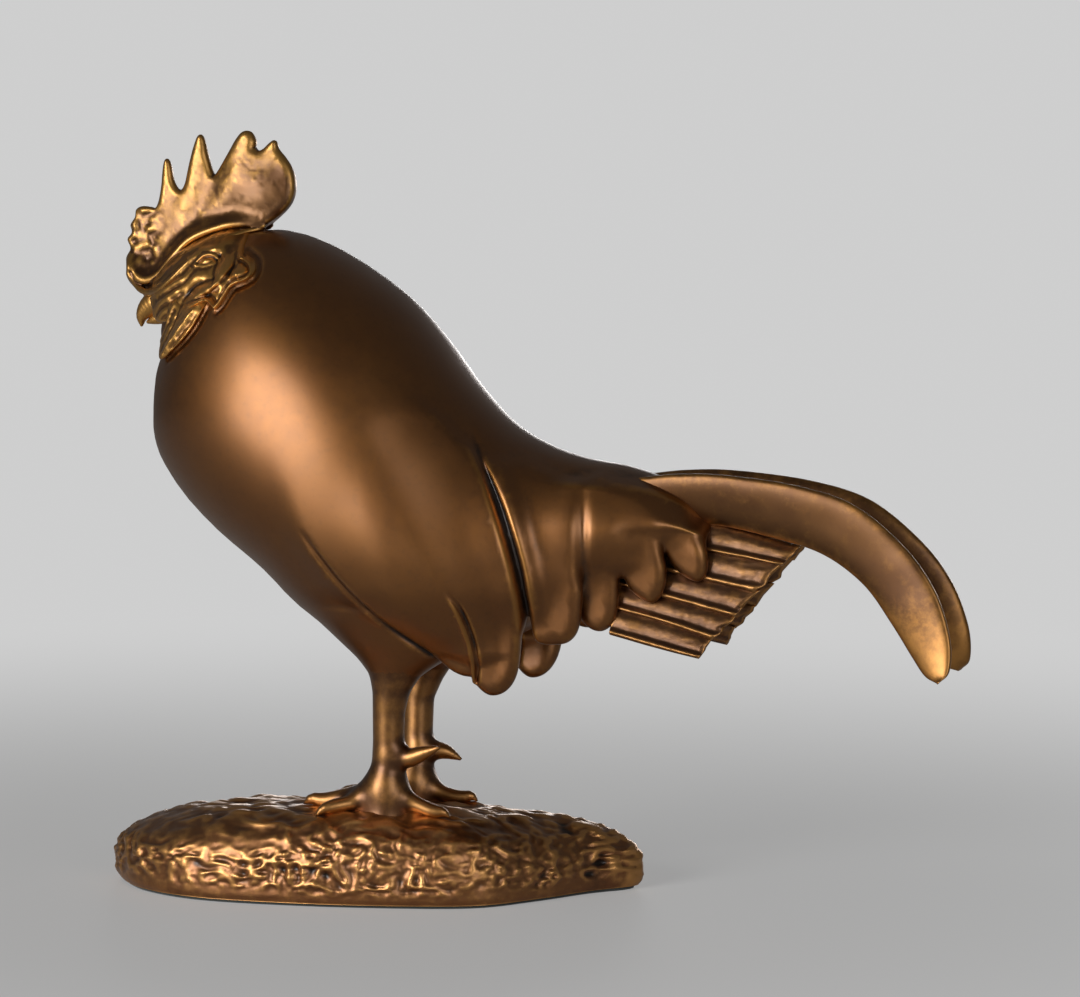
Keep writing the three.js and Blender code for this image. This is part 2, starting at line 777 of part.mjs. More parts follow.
function screw([x, y]) {
  const radius = screwDiameter / 2;
  const headRadius = screwHeadDiameter / 2;
  const headDepth = headRadius - radius;
  const profile = [
    [0, rockFloor], [headRadius, rockFloor], [radius, rockFloor + headDepth],
    [radius, rockFloor + screwLength - radius], [0, rockFloor + screwLength],
  ].map(([r, z]) => new THREE.Vector2(r, z));
  const geometry = new THREE.LatheGeometry(profile, 12);
  geometry.rotateX(Math.PI / 2);
  geometry.translate(x, y, 0);
  const slot = new THREE.BoxGeometry(screwHeadDiameter + 1, screwDiameter * 0.25, headDepth);
  slot.translate(x, y, rockFloor);
  return solid(geometry).subtract(solid(slot));
}

function screwHole([x, y]) {
  const radius = screwDiameter / 2 + seam;
  const headRadius = screwHeadDiameter / 2 + seam;
  const depth = headRadius - radius;
  const profile = [
    [0, rockFloor - 1], [headRadius, rockFloor - 1], [headRadius, rockFloor],
    [radius, rockFloor + depth], [radius, rockFloor + screwLength + 1], [0, rockFloor + screwLength + 1],
  ].map(([r, z]) => new THREE.Vector2(r, z));
  const geometry = new THREE.LatheGeometry(profile, 12);
  geometry.rotateX(Math.PI / 2);
  geometry.translate(x, y, 0);
  return solid(geometry);
}

function baseRock() {
  const outer = rockDome(0, 52, 12);
  const cavity = rockDome(rockWall, 26, 6);
  const rebate = outlinePlate(coverInset, rockFloor - 1, coverThickness + 1);
  const bosses = feet.map((foot) =>
    post(foot.x, foot.y, foot.bossFace, foot.sole - rockWall / 2, washerDiameter / 2 + bossMargin),
  );
  const posts = screwPlaces.map(([x, y]) =>
    post(x, y, coverTop, rockTop(x, y) - rockWall / 2, postRadius, 12),
  );
  const shell = outer.subtract(cavity).subtract(rebate);
  const holes = feet.map((foot) => studHole(foot, foot.bossFace - 1, foot.sole + 5));
  const screwHoles = screwPlaces.map(screwHole);
  return joined([shell, ...bosses, ...posts]).subtract(joined([...holes, ...screwHoles]));
}

// Assembly of the base
const rockClearance = rockDome(-seam, 52, 12);
add("base_rock", baseRock(), "rock");
add(
  "base_cover",
  outlinePlate(coverInset + seam, rockFloor, coverThickness).subtract(joined(screwPlaces.map(screwHole))),
  "steel",
);
add("base_felt", outlinePlate(feltInset, 0, feltThickness), "felt");
screwPlaces.forEach((place, i) => add(`cover_screw_${i + 1}`, screw(place), "steel"));
feet.forEach((foot) => {
  add(`stud_${foot.name}`, stud(foot), "steel");
  add(`washer_${foot.name}`, washer(foot), "steel");
  add(`nut_${foot.name}`, nut(foot), "steel");
});

// Legs: cut to the belly and to the rock, with a spigot into the belly
const thighRoot = up(112);
const thighSpigot = (foot, grow) =>
  post(foot.x + 8, foot.y + foot.sign * 2, thighRoot, thighRoot + thighSpigotRise, thighSpigotRadius + grow);

feet.forEach((place) => {
  const casting = legWithFoot(place)
    .subtract(bodyClearance)
    .add(thighSpigot(place, 0))
    .subtract(rockClearance)
    .subtract(studHole(place, place.sole - 5, place.sole + studGrip + 1));
  add(`leg_${place.name}`, casting, "patina");
});

// Body shell with openings for the neck and thigh spigots
const { spigotMiddle, inward, casting: headSolid } = headCasting();
const neckBore = 30; // reaches this far to both sides of the neck joint
const neckOpening = limb(
  [
    spigotMiddle.clone().addScaledVector(inward, neckBore),
    spigotMiddle.clone().addScaledVector(inward, -neckBore),
  ],
  [neckSpigotRadius + seam, neckSpigotRadius + seam],
  24,
  1,
);
const bodyCavity = body.make(11, 16, { grow: -bodyWall, from: 0.03, to: 0.82, reach: 0 });
add(
  "body_shell",
  body
    .make(24, 28)
    .subtract(bodyCavity)
    .subtract(neckOpening)
    .subtract(joined(feet.map((place) => thighSpigot(place, seam)))),
  "patina",
);

// Feathers on both sides of the body
sides.forEach(({ name, sign }, i) => {
  const thighClearance = leg(feet[i], seam);
  add(`wing_front_${name}`, wingFront(sign).subtract(thighClearance), "patina");
  add(`wing_rear_${name}`, wingRear(sign).subtract(thighClearance), "patina");
  add(`flank_feather_${name}`, flankFeather(sign), "patina");
  saddleLobes.forEach((lobes) => add(`saddle_${lobes.name}_${name}`, saddleLobe(lobes, sign), "patina"));
  add(`sickle_${name}`, sickle(sign).subtract(bodyClearance), "patina");
  add(`tail_fan_${name}`, tailFan(sign).subtract(bodyClearance).subtract(sickle(sign, seam)), "gold");
});

// Head, comb, beak and wattles
const rolledComb = comb().add(combRoll());
add("head", headSolid, "gold");
add("comb", rolledComb.subtract(headClearance).subtract(bodyClearance), "gold");
const upper = beakUpper().subtract(headClearance).subtract(rolledComb);
const lower = beakLower().subtract(headClearance).subtract(beakUpper());
add("beak_upper", upper, "gold");
add("beak_lower", lower, "gold");
sides.forEach(({ name, sign }) => {
  const casting = wattle(sign).subtract(headClearance).subtract(bodyClearance);
  add(`wattle_${name}`, casting, "gold");
});

export default group;
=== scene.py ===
import math

import bpy
import numpy as np
import openvdb
from mathutils import Matrix


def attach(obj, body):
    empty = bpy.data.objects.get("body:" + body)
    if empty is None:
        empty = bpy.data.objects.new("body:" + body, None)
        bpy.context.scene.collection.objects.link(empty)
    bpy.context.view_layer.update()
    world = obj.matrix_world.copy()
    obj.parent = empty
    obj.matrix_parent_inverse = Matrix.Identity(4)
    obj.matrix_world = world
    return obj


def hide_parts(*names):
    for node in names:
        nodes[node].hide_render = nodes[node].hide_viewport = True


# A cast bronze rooster on a rock base, built in the order in which it is put together.
# Sizes are in millimetres and the bird looks along -X, with its left side at -Y.
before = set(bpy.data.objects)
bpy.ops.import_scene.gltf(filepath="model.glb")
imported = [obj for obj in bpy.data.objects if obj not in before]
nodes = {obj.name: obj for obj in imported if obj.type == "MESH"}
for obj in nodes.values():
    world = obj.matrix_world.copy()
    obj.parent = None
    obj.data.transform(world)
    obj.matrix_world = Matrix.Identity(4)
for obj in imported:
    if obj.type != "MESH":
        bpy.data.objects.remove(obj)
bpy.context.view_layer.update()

# Rock base: a hollow bronze casting that the feet are bolted to, with tool marks on its top,
# rough carved sides and a smooth lower band. Its skin is one sheet of rings from the crown
# down to the rim, in under the rim and up again over the inside of the wall.
MM = 0.001
ROCK_HEIGHT = 41
ROCK_TILT = 0.09  # the top falls to the bird's right
ROCK_FALL = 0.022  # and from the legs to both ends
LEG_X = 11.8
RIGHT_LEAD = 1.6  # the right leg stands this far ahead of the left one
ROCK_FLOOR = 1.5  # the felt's thickness
ROCK_WALL = 7.5
RIM_WIDTH = 4
MASK_PASSES = ((8, 6.0), (60, 1.2))  # rounds of evening and gain, for the near and the wide mask
PLATE_TOP = 4
# Dark colour of the specks and of the hollows, where it is partly patina and partly painted shade
HOLLOW_TONE = (0.014, 0.005, 0.0012)
FOOT_SPACING = 40
ROCK_OUTLINE = [
    (108, 40), (94, 50), (60, 50), (20, 50), (-20, 48), (-55, 43), (-90, 31), (-114, 15),
    (-122, -3), (-117, -19), (-98, -40), (-66, -52), (-18, -51), (26, -43), (58, -31),
    (78, -8), (95, 17), (108, 31),
]
ROCK_PROFILE = [
    (0, 1), (0.4, 0.97), (0.62, 0.915), (0.78, 0.825), (0.9, 0.69), (0.97, 0.53), (0.995, 0.37),
    (1, 0.21), (1, 0.08), (0.985, 0),
]


def between(rows, share):
    """Points of a smooth curve through equally spaced rows, at shares from 0 to 1"""
    rows = np.asarray(rows, np.float64)
    place = np.clip(share, 0, 1) * (len(rows) - 1)
    cell = np.minimum(place.astype(int), len(rows) - 2)
    s = (place - cell)[..., None]
    ends = np.vstack([2 * rows[:1] - rows[1:2], rows, 2 * rows[-1:] - rows[-2:-1]])
    a, b, c, d = (ends[cell + step] for step in range(4))
    bend = 2 * a - 5 * b + 4 * c - d
    return 0.5 * (2 * b + (c - a) * s + bend * s**2 + (3 * b - 3 * c + d - a) * s**3)


def ramp(low, high, value):
    """0 below low, 1 above high, and smooth between them"""
    s = np.clip((value - low) / (high - low), 0, 1)
    return s * s * (3 - 2 * s)


def bell(distance, width):
    """1 at no distance, and little past the width"""
    return np.exp(-((distance / width) ** 2))


def lumps(points, size, seed):
    """Smooth random heights from -1 to 1 at points, with lumps of that size"""
    place = np.asarray(points, np.float64) / size + 500
    cell = np.floor(place).astype(np.int64)
    s = place - cell
    s = s * s * (3 - 2 * s)
    total = np.zeros(len(place))
    for corner in np.ndindex(2, 2, 2):
        x, y, z = (cell + corner).T
        hashed = (x * 73856093) ^ (y * 19349663) ^ (z * 83492791) ^ (seed * 39916801)
        hashed = ((hashed ^ (hashed >> 13)) * 1274126177) & 0x7FFFFFFF
        weight = np.prod(np.where(corner, s, 1 - s), axis=1)
        total += weight * (hashed / 0x3FFFFFFF - 1)
    return total


def loft(rings):
    """Points and faces of a closed skin over closed rings, with a fan over each end"""
    levels, count = rings.shape[:2]
    start = (np.arange(levels - 1)[:, None] * count + np.arange(count)).ravel()
    following = (np.arange(levels - 1)[:, None] * count + (np.arange(count) + 1) % count).ravel()
    quads = np.stack([start, following, following + count, start + count], 1).tolist()
    around = np.arange(count)
    after = (around + 1) % count
    first, last = levels * count, levels * count + 1
    top = (levels - 1) * count
    fans = np.stack([np.full(count, first), after, around], 1).tolist()
    fans += np.stack([np.full(count, last), top + around, top + after], 1).tolist()
    points = np.vstack([rings.reshape(-1, 3), rings[0].mean(0), rings[-1].mean(0)])
    return points, quads + fans


def outward(points, faces):
    """Faces turned so that they look out of the closed shape"""
    triangles = np.array([(f[0], f[i], f[i + 1]) for f in faces for i in range(1, len(f) - 1)])
    a, b, c = points[triangles].transpose(1, 0, 2)
    if np.einsum("ij,ij->i", a, np.cross(b, c)).sum() > 0:
        return faces
    return [f[::-1] for f in faces]


def edges_of(faces):
    """Both ends of every edge, once in each direction"""
    pairs = []
    for sides in (3, 4):
        same = np.array([f for f in faces if len(f) == sides], np.int64).reshape(-1, sides)
        for step in range(sides):
            pairs.append(np.stack([same[:, step], same[:, (step + 1) % sides]], 1))
    ends = np.vstack(pairs)
    return np.vstack([ends, ends[:, ::-1]])


def relax(values, ends, passes):
    """Values evened out over the neighbours, that many times"""
    count = np.bincount(ends[:, 0], minlength=len(values))[:, None]
    for _ in range(passes):
        total = np.stack(
            [np.bincount(ends[:, 0], column[ends[:, 1]], len(values)) for column in values.T], 1
        )
        values = (values + total / count) / 2
    return values


def mesh_masks(points, faces, normals):
    """How far each point stands over its neighbourhood, near and wide"""
    ends = edges_of(faces)
    for passes, gain in MASK_PASSES:
        height = np.einsum("ij,ij->i", points - relax(points, ends, passes), normals)
        yield relax(height[:, None], ends, 3)[:, 0] * gain


def set_out(name, data):
    """New object in the scene"""
    obj = bpy.data.objects.new(name, data)
    bpy.context.scene.collection.objects.link(obj)
    return obj


def stand_for(obj, solids):
    """The piece moves with the root and is seen in place of its solids"""
    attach(obj, "root")
    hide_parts(*solids)


def cast(name, points, faces, material, slot, solids, masks=None, normals=None):
    """A smooth piece that knows where its edges and its hollows are"""
    faces = outward(points, faces)
    mesh = bpy.data.meshes.new(name)
    mesh.from_pydata((points * MM).tolist(), [], faces)
    mesh.shade_smooth()
    obj = set_out(name, mesh)
    if normals is None:
        flat = np.zeros(len(points) * 3)
        mesh.vertex_normals.foreach_get("vector", flat)
        masks = mesh_masks(points, faces, flat.reshape(-1, 3))
    else:
        mesh.normals_split_custom_set_from_vertices(normals.tolist())
    for mask, values in zip(("edge", "hollow"), masks):
        store = mesh.attributes.new(mask, "FLOAT", "POINT")
        store.data.foreach_set("value", values.astype(np.float32))
    mesh.materials.append(material)
    stand_for(obj, solids)
    return obj


def feed(tree, node, inputs):
    """Give each of a node's inputs a value, a socket or a list of sockets"""
    for key, value in inputs.items():
        for source in value if isinstance(value, list) else [value]:
            if isinstance(source, bpy.types.NodeSocket):
                tree.links.new(source, node.inputs[key])
            else:
                node.inputs[key].default_value = source


def add_node(tree, kind, inputs, **settings):
    """Outputs of a new node with these inputs and settings"""
    node = tree.nodes.new(kind)
    for key, value in settings.items():
        setattr(node, key, value)
    feed(tree, node, inputs)
    return node.outputs


def maths(tree, operation, a, b):
    """Value worked out from two others"""
    return add_node(tree, "ShaderNodeMath", {0: a, 1: b}, operation=operation)[0]


def here(tree):
    """The place on the piece, for the textures"""
    return add_node(tree, "ShaderNodeTexCoord", {})["Object"]


def noise(tree, vector, scale, detail, rough=0.5, bent=0.0):
    """Value of a noise texture"""
    inputs = {"Vector": vector, "Scale": scale, "Detail": detail, "Roughness": rough, "Distortion": bent}
    return add_node(tree, "ShaderNodeTexNoise", inputs)["Fac"]


def spread(tree, value, low, high, start=0.0, end=1.0, kind="SMOOTHSTEP"):
    """Value from start to end while the given one goes from low to high"""
    inputs = {"Value": value, "From Min": low, "From Max": high, "To Min": start, "To Max": end}
    return add_node(tree, "ShaderNodeMapRange", inputs, interpolation_type=kind)["Result"]


def mixed(tree, share, a, b):
    """Colour between two, by the numbers that a colour mix gives its sockets"""
    return add_node(tree, "ShaderNodeMix", {0: share, 6: a, 7: b}, data_type="RGBA")[2]


def relief(tree, height, strength, distance):
    """Normal of a surface with fine relief, whose distance is in mm"""
    inputs = {"Height": height, "Strength": strength, "Distance": distance * MM}
    return add_node(tree, "ShaderNodeBump", inputs)["Normal"]


def new_material(name):
    """A material, its tree and its shader"""
    material = bpy.data.materials.new(name)
    material.use_nodes = True
    return material, material.node_tree, material.node_tree.nodes["Principled BSDF"]


def patina_group():
    """Shader group: bronze colour and roughness from wear at edges, and darker patina with painted shade in
    hollows
    """
    tree = bpy.data.node_groups.new("bronze patina", "ShaderNodeTree")
    for kind, direction, labels in (
        ("Color", "INPUT", ("Dark", "Brown", "Gold")),
        ("Float", "INPUT", ("Wear", "Hollow", "Rubbed And Painted Light", "Grain")),
        ("Color", "OUTPUT", ("Color",)),
        ("Float", "OUTPUT", ("Roughness", "Height")),
    ):
        for label in labels:
            tree.interface.new_socket(label, in_out=direction, socket_type="NodeSocket" + kind)
    given = tree.nodes.new("NodeGroupInput").outputs
    place = here(tree)
    cloud = noise(tree, place, scale=22, detail=3, rough=0.55)
    mottle = noise(tree, place, scale=170, detail=4, rough=0.7)
    speck = noise(tree, place, scale=given["Grain"], detail=3)
    wear_and_painted_light = maths(tree, "ADD", given["Wear"], spread(tree, mottle, 0.3, 0.75, -0.22, 0.22))
    # The share given per piece brightens towards gold; on the rock's top it is a painted reflection, and at
    # the comb's rear it darkens as painted shade
    wear_and_painted_light = maths(tree, "ADD", wear_and_painted_light, given["Rubbed And Painted Light"])
    # Hollows are darkened: partly a darker patina, partly painted shade where less light falls
    dirt_and_shade = maths(tree, "ADD", given["Hollow"], spread(tree, mottle, 0.3, 0.7, -0.12, 0.12))
    dirt_and_shade_share = spread(tree, dirt_and_shade, -0.08, -0.95)
    colour = mixed(tree, spread(tree, cloud, 0.35, 0.7, 0, 0.14), given["Brown"], given["Gold"])
    colour = mixed(tree, spread(tree, speck, 0.5, 0.75, 0, 0.1), colour, given["Dark"])
    colour = mixed(tree, spread(tree, wear_and_painted_light, 0.1, 1.15), colour, given["Gold"])
    colour = mixed(tree, dirt_and_shade_share, colour, given["Dark"])
    dull = spread(tree, dirt_and_shade_share, 0, 1, 0, 0.2)
    feed(tree, tree.nodes.new("NodeGroupOutput"), {
        "Color": colour,
        "Roughness": maths(tree, "ADD", spread(tree, mottle, 0.25, 0.75, 0.37, 0.43), dull),
        "Height": maths(tree, "ADD", speck, spread(tree, mottle, 0, 1, 0, 0.6)),
    })
    return tree


PATINA = patina_group()


def bronze(
    name, brown, gold, dark=HOLLOW_TONE, rubbed_and_painted_light=0.0, grain=420, bump=0.02, wear=1, dirt_and_shade=1, coat=0.6
):
    """Bronze under a brown patina, gold where it is handled and darker in its hollows, as patina and as
    painted shade.
    Without a value for its share of gold, the piece brings its own as an attribute, which on the rock and
    the comb also holds painted light and painted shade."""
    material, tree, shader = new_material(name)

    def brought(mask, gain):
        value = add_node(tree, "ShaderNodeAttribute", {}, attribute_name=mask)["Fac"]
        return maths(tree, "MULTIPLY", value, gain)

    inputs = {"Dark": (*dark, 1), "Brown": (*brown, 1), "Gold": (*gold, 1), "Grain": grain}
    inputs["Wear"] = brought("edge", wear)
    inputs["Hollow"] = brought("hollow", dirt_and_shade)
    inputs["Rubbed And Painted Light"] = brought("rubbed_and_painted_light", 1) if rubbed_and_painted_light is None else rubbed_and_painted_light
    look = add_node(tree, "ShaderNodeGroup", inputs, node_tree=PATINA)
    feed(tree, shader, {
        "Metallic": 1, "Coat Weight": coat, "Coat Roughness": 0.33, "Coat IOR": 1.6,
        "Base Color": look["Color"], "Roughness": look["Roughness"],
        "Normal": relief(tree, look["Height"], 0.35, bump),
    })
    return material


def rub_and_paint_light(obj, share):
    """Tell a piece how bright each of its points is, by its place in mm: the gold of wear, and on some
    pieces painted light, as the painted reflection on the rock's top and the painted shade at the comb's
    rear
    """
    flat = np.zeros(len(obj.data.vertices) * 3)
    obj.data.vertices.foreach_get("co", flat)
    store = obj.data.attributes.new("rubbed_and_painted_light", "FLOAT", "POINT")
    store.data.foreach_set("value", share(*(flat.reshape(-1, 3) / MM).T).astype(np.float32))


def rock_reach(angle):
    """How far the rock reaches from the middle in a direction"""
    closed = [ROCK_OUTLINE[-1], *ROCK_OUTLINE, *ROCK_OUTLINE[:2]]
    line = between(closed, np.linspace(1 / 20, 19 / 20, 721))
    turn = np.arctan2(line[:, 1], line[:, 0])
    order = np.argsort(turn)
    return np.interp(angle, turn[order], np.hypot(*line.T)[order], period=2 * math.pi)


def rock_skin(angle, level, inset=0.0):
    """Points of the rock's smooth skin, by direction and share of the way down"""
    share, rise = np.moveaxis(between(ROCK_PROFILE, level), -1, 0)
    reach = np.maximum(rock_reach(angle) * share - inset * share, 0.01)
    x, y = reach * np.cos(angle), reach * np.sin(angle)
    fall = ROCK_TILT * (y + FOOT_SPACING / 2) + ROCK_FALL * np.abs(x - LEG_X)
    crown = ROCK_HEIGHT - ROCK_FLOOR - fall
    long_waves = np.sin(x * 0.11 + 1.3) * np.sin(y * 0.16 + 0.4)
    short_waves = np.sin(x * 0.31 + y * 0.12) * np.sin(y * 0.37 - x * 0.05 + 2)
    z = ROCK_FLOOR + rise * (crown + 0.9 * long_waves + 0.6 * short_waves - inset)
    return np.stack([x, y, np.maximum(z, ROCK_FLOOR)], -1)


def rock_top(x, y):
    """Height of the rock at a place on its top"""
    angle = math.atan2(y, x)
    levels = np.linspace(0, 0.5, 400)
    line = rock_skin(np.full(len(levels), angle), levels)
    return float(np.interp(math.hypot(x, y), np.hypot(line[:, 0], line[:, 1]), line[:, 2]))


def rock_relief(points):
    """Height of the tool marks and the carving over the smooth skin"""
    x, y, z = points.T
    turned = points @ np.array(Matrix.Rotation(0.8, 3, (1, 2, 3)))
    twisted = points @ np.array(Matrix.Rotation(1.9, 3, (3, 1, -1)))
    flow = 3.5 * np.stack([lumps(turned, 11, seed) for seed in (1, 2, 3)], 1)
    top = ramp(0.5, 0.85, np.clip((z - 14) / 24, 0, 1))
    ripples = 1 - 2 * np.abs(lumps(points * [0.35, 1, 1] + flow, 6.5, 4))
    flat_top = 0.9 * ripples + 0.55 * lumps(points * [0.5, 1, 1] + flow, 2.8, 5)
    layered = points * [1, 1, 1.7]
    chips = 1 - 2.2 * np.abs(lumps(layered + 1.3 * flow, 6.5, 6))
    grit = 0.9 * lumps(layered + flow, 3.6, 7) + 0.6 * lumps(twisted + flow, 2.2, 8)
    calm = ramp(-0.45, 0.3, lumps(points, 24, 10))
    sides = (0.55 + 0.45 * calm) * (chips + grit)
    polished = ramp(4, 10, z + 2.5 * lumps(points, 30, 9))
    shoulder = bell(z - 27, 4.5) * ramp(10, -30, y) * ramp(0, -40, x) * 0.85
    return (top * flat_top + (1 - top) * sides) * (0.08 + 0.92 * polished) * (1 - shoulder)


def rock_mesh():
    """Points and faces of the hollow rock, with its carving on the outside"""
    around = 560
    turns = np.linspace(-math.pi, math.pi, around, endpoint=False)
    levels = np.linspace(0.02, 1, 118)
    rings = rock_skin(turns[None, :], levels[:, None])
    outer = np.concatenate([np.broadcast_to(rings[:1] * [0, 0, 1], (1, around, 3)), rings])
    step = np.roll(outer, -1, 1) - np.roll(outer, 1, 1)
    down = np.gradient(outer, axis=0)
    normal = np.cross(down, step)
    normal /= np.maximum(np.linalg.norm(normal, axis=2, keepdims=True), 1e-6)
    height = rock_relief(outer.reshape(-1, 3)).reshape(outer.shape[:2])
    height *= ramp(ROCK_FLOOR, ROCK_FLOOR + 3, outer[..., 2])
    outer = outer + normal * height[..., None]
    outer[0] = outer[0].mean(0)
    edge = rings[-1] * [1, 1, 0] + [0, 0, ROCK_FLOOR]
    inward = edge / np.linalg.norm(edge[:, :2], axis=1, keepdims=True) * [1, 1, 0]
    rim = edge - inward * RIM_WIDTH
    ledge = rim + [0, 0, PLATE_TOP - ROCK_FLOOR]
    cavity = rock_skin(turns[None, :], np.linspace(0.96, 0.03, 14)[:, None], ROCK_WALL)
    return loft(np.concatenate([outer, edge[None], rim[None], ledge[None], cavity]))


ROCK_BRONZE = bronze(
    "rock bronze", (0.25, 0.095, 0.025), (0.6, 0.29, 0.08),
    rubbed_and_painted_light=None, grain=260, bump=0.05,
)
rock = cast("rock_base", *rock_mesh(), ROCK_BRONZE, "rock_bronze", ["base_rock"])
# The rock is brightened a little all over, and above 32 mm its top is painted brighter again: a painted
# reflection of the light on the top
rub_and_paint_light(rock, lambda x, y, z: 0.28 + 0.45 * ramp(32, 38, z))

# Closing plate, and the studs, washers and nuts under the feet: plain steel from stock,
# turned or sheared and left unpainted inside the base, a little dull.


def steel(name, colour, grain, stretch):
    """Bare steel with fine tool lines and a thin dull film"""
    material, tree, shader = new_material(name)
    film = noise(tree, here(tree), scale=60, detail=3)
    along = add_node(tree, "ShaderNodeMapping", {"Vector": here(tree), "Scale": stretch})["Vector"]
    filmed = [0.55 * part for part in colour]
    feed(tree, shader, {
        "Metallic": 1, "Base Color": mixed(tree, film, (*colour, 1), (*filmed, 1)),
        "Roughness": spread(tree, film, 0, 1, 0.28, 0.55, "LINEAR"),
        "Normal": relief(tree, noise(tree, along, scale=grain, detail=4), 0.25, 0.03),
    })
    return material


TURNED_STEEL = steel("turned steel", (0.45, 0.45, 0.46), 900, (1, 1, 6))
SHEET_STEEL = steel("sheet steel", (0.38, 0.38, 0.39), 700, (0.15, 6, 1))
for node_name, node in nodes.items():
    if node_name.startswith(("stud", "washer", "nut")):
        node.material_slots[0].material = TURNED_STEEL
nodes["base_cover"].material_slots[0].material = SHEET_STEEL

# Cover screws: four slotted countersunk M3 screws of turned steel, with rolled threads. They
# go through the closing plate into posts inside the rock. Geometry Nodes make one screw and
# set it at the four places, each turned as it happened to come to rest.
SCREW_SIZES = {
    "Length": 11, "Head Radius": 3, "Shank Radius": 1.5, "Pitch": 0.5,
    "Slot Width": 0.75, "Slot Depth": 0.6,
}
SCREW_SIDES = 48
COIL_STEPS = 24  # points to a turn of the thread
THREAD_SIDES = 6
SCREW_SEED = 3


def screw_tree():
    """Geometry Nodes tree that sets a screw at each point of the mesh it is given"""
    tree = bpy.data.node_groups.new("countersunk screws", "GeometryNodeTree")
    tree.interface.new_socket("Places", in_out="INPUT", socket_type="NodeSocketGeometry")
    for label in SCREW_SIZES:
        tree.interface.new_socket(label, in_out="INPUT", socket_type="NodeSocketFloat")
    tree.interface.new_socket("Screws", in_out="OUTPUT", socket_type="NodeSocketGeometry")
    given = tree.nodes.new("NodeGroupInput").outputs

    def add(kind, inputs, **settings):
        return add_node(tree, kind, inputs, **settings)[0]

    def lifted(geometry, height):
        place = add("ShaderNodeCombineXYZ", {"Z": height})
        return add("GeometryNodeTransform", {"Geometry": geometry, "Translation": place})

    length, head_radius, shank_radius, pitch = (
        given[key] for key in ("Length", "Head Radius", "Shank Radius", "Pitch")
    )
    head_depth = maths(tree, "SUBTRACT", head_radius, shank_radius)
    cone = {"Vertices": SCREW_SIDES, "Radius Top": shank_radius, "Radius Bottom": head_radius}
    blank = add("GeometryNodeMeshCone", {**cone, "Depth": head_depth})
    slot_size = {"X": maths(tree, "MULTIPLY", head_radius, 3), "Y": given["Slot Width"]}
    slot_size["Z"] = maths(tree, "MULTIPLY", given["Slot Depth"], 2)
    slot = add("GeometryNodeMeshCube", {"Size": add("ShaderNodeCombineXYZ", slot_size)})
    head = add("GeometryNodeMeshBoolean", {"Mesh 1": blank, "Mesh 2": slot}, operation="DIFFERENCE")

    thread_radius = maths(tree, "MULTIPLY", pitch, 0.4)
    thread_middle = maths(tree, "SUBTRACT", shank_radius, thread_radius)
    shank_length = maths(tree, "SUBTRACT", length, head_depth)
    core_size = {"Vertices": SCREW_SIDES, "Radius": thread_middle, "Depth": shank_length}
    core = add("GeometryNodeMeshCylinder", core_size)
    core_middle = maths(tree, "MULTIPLY", maths(tree, "ADD", length, head_depth), 0.5)
    core = lifted(core, core_middle)
    thread_length = maths(tree, "SUBTRACT", shank_length, pitch)
    turns = maths(tree, "DIVIDE", thread_length, pitch)
    coil = {"Resolution": COIL_STEPS, "Rotations": turns, "Height": thread_length}
    coil["Start Radius"] = coil["End Radius"] = thread_middle
    course = add("GeometryNodeCurveSpiral", coil)
    profile = add("GeometryNodeCurvePrimitiveCircle", {"Resolution": THREAD_SIDES, "Radius": thread_radius})
    sweep = {"Curve": course, "Profile Curve": profile, "Fill Caps": True}
    thread_start = maths(tree, "ADD", head_depth, maths(tree, "MULTIPLY", pitch, 0.5))
    thread = lifted(add("GeometryNodeCurveToMesh", sweep), thread_start)
    thread = add("GeometryNodeSetShadeSmooth", {"Geometry": thread, "Shade Smooth": True})

    screw = add("GeometryNodeJoinGeometry", {"Geometry": [head, core, thread]})
    turn = {"Min": (0, 0, 0), "Max": (0, 0, math.pi), "Seed": SCREW_SEED}
    turn = add("FunctionNodeRandomValue", turn, data_type="FLOAT_VECTOR")
    turn = add("FunctionNodeEulerToRotation", {"Euler": turn})
    copies = {"Points": given["Places"], "Instance": screw, "Rotation": turn}
    placed = add("GeometryNodeInstanceOnPoints", copies)
    placed = add("GeometryNodeRealizeInstances", {"Geometry": placed})
    placed = add("GeometryNodeSetMaterial", {"Geometry": placed, "Material": TURNED_STEEL})
    tree.links.new(placed, tree.nodes.new("NodeGroupOutput").inputs["Screws"])
    return tree


def cover_screws():
    """Plain mesh of the four screws, which stand where the solids of the screws are"""
    names = [f"cover_screw_{i}" for i in range(1, 5)]
    places = []
    for name in names:
        spots = np.array([v.co for v in nodes[name].data.vertices])
        middle = (spots.min(0) + spots.max(0)) / 2
        places.append((middle[0], middle[1], spots.min(0)[2]))
    holder_mesh = bpy.data.meshes.new("screw places")
    holder_mesh.from_pydata(places, [], [])
    holder = set_out("screw places", holder_mesh)
    modifier = holder.modifiers.new("screws", "NODES")
    modifier.node_group = screw_tree()
    for socket in modifier.node_group.interface.items_tree:
        if socket.name in SCREW_SIZES:
            modifier[socket.identifier] = SCREW_SIZES[socket.name] * MM
    view = bpy.context.evaluated_depsgraph_get()
    mesh = bpy.data.meshes.new_from_object(holder.evaluated_get(view), depsgraph=view)
    bpy.data.objects.remove(holder)
    mesh.name = "cover_screws"
    mesh.materials.clear()
    mesh.materials.append(TURNED_STEEL)
    mesh.polygons.foreach_set("material_index", np.zeros(len(mesh.polygons), np.int32))
    stand_for(set_out("cover_screws", mesh), names)


cover_screws()

# Felt: one sheet of pressed wool felt, cut 2 mm inside the rock's outline and glued
# flat to the closing plate and the rim, so that the base doesn't scratch what it is on.
FELT_THICKNESS = 1.5
FELT_INSET = 2
FELT_ROUNDING = 12
FELT_PROFILE = [(0.3, 0.01), (0.96, 0.0), (0.99, 0.06), (1.0, 0.5), (0.99, 0.94), (0.96, 1.0), (0.3, 1.0)]


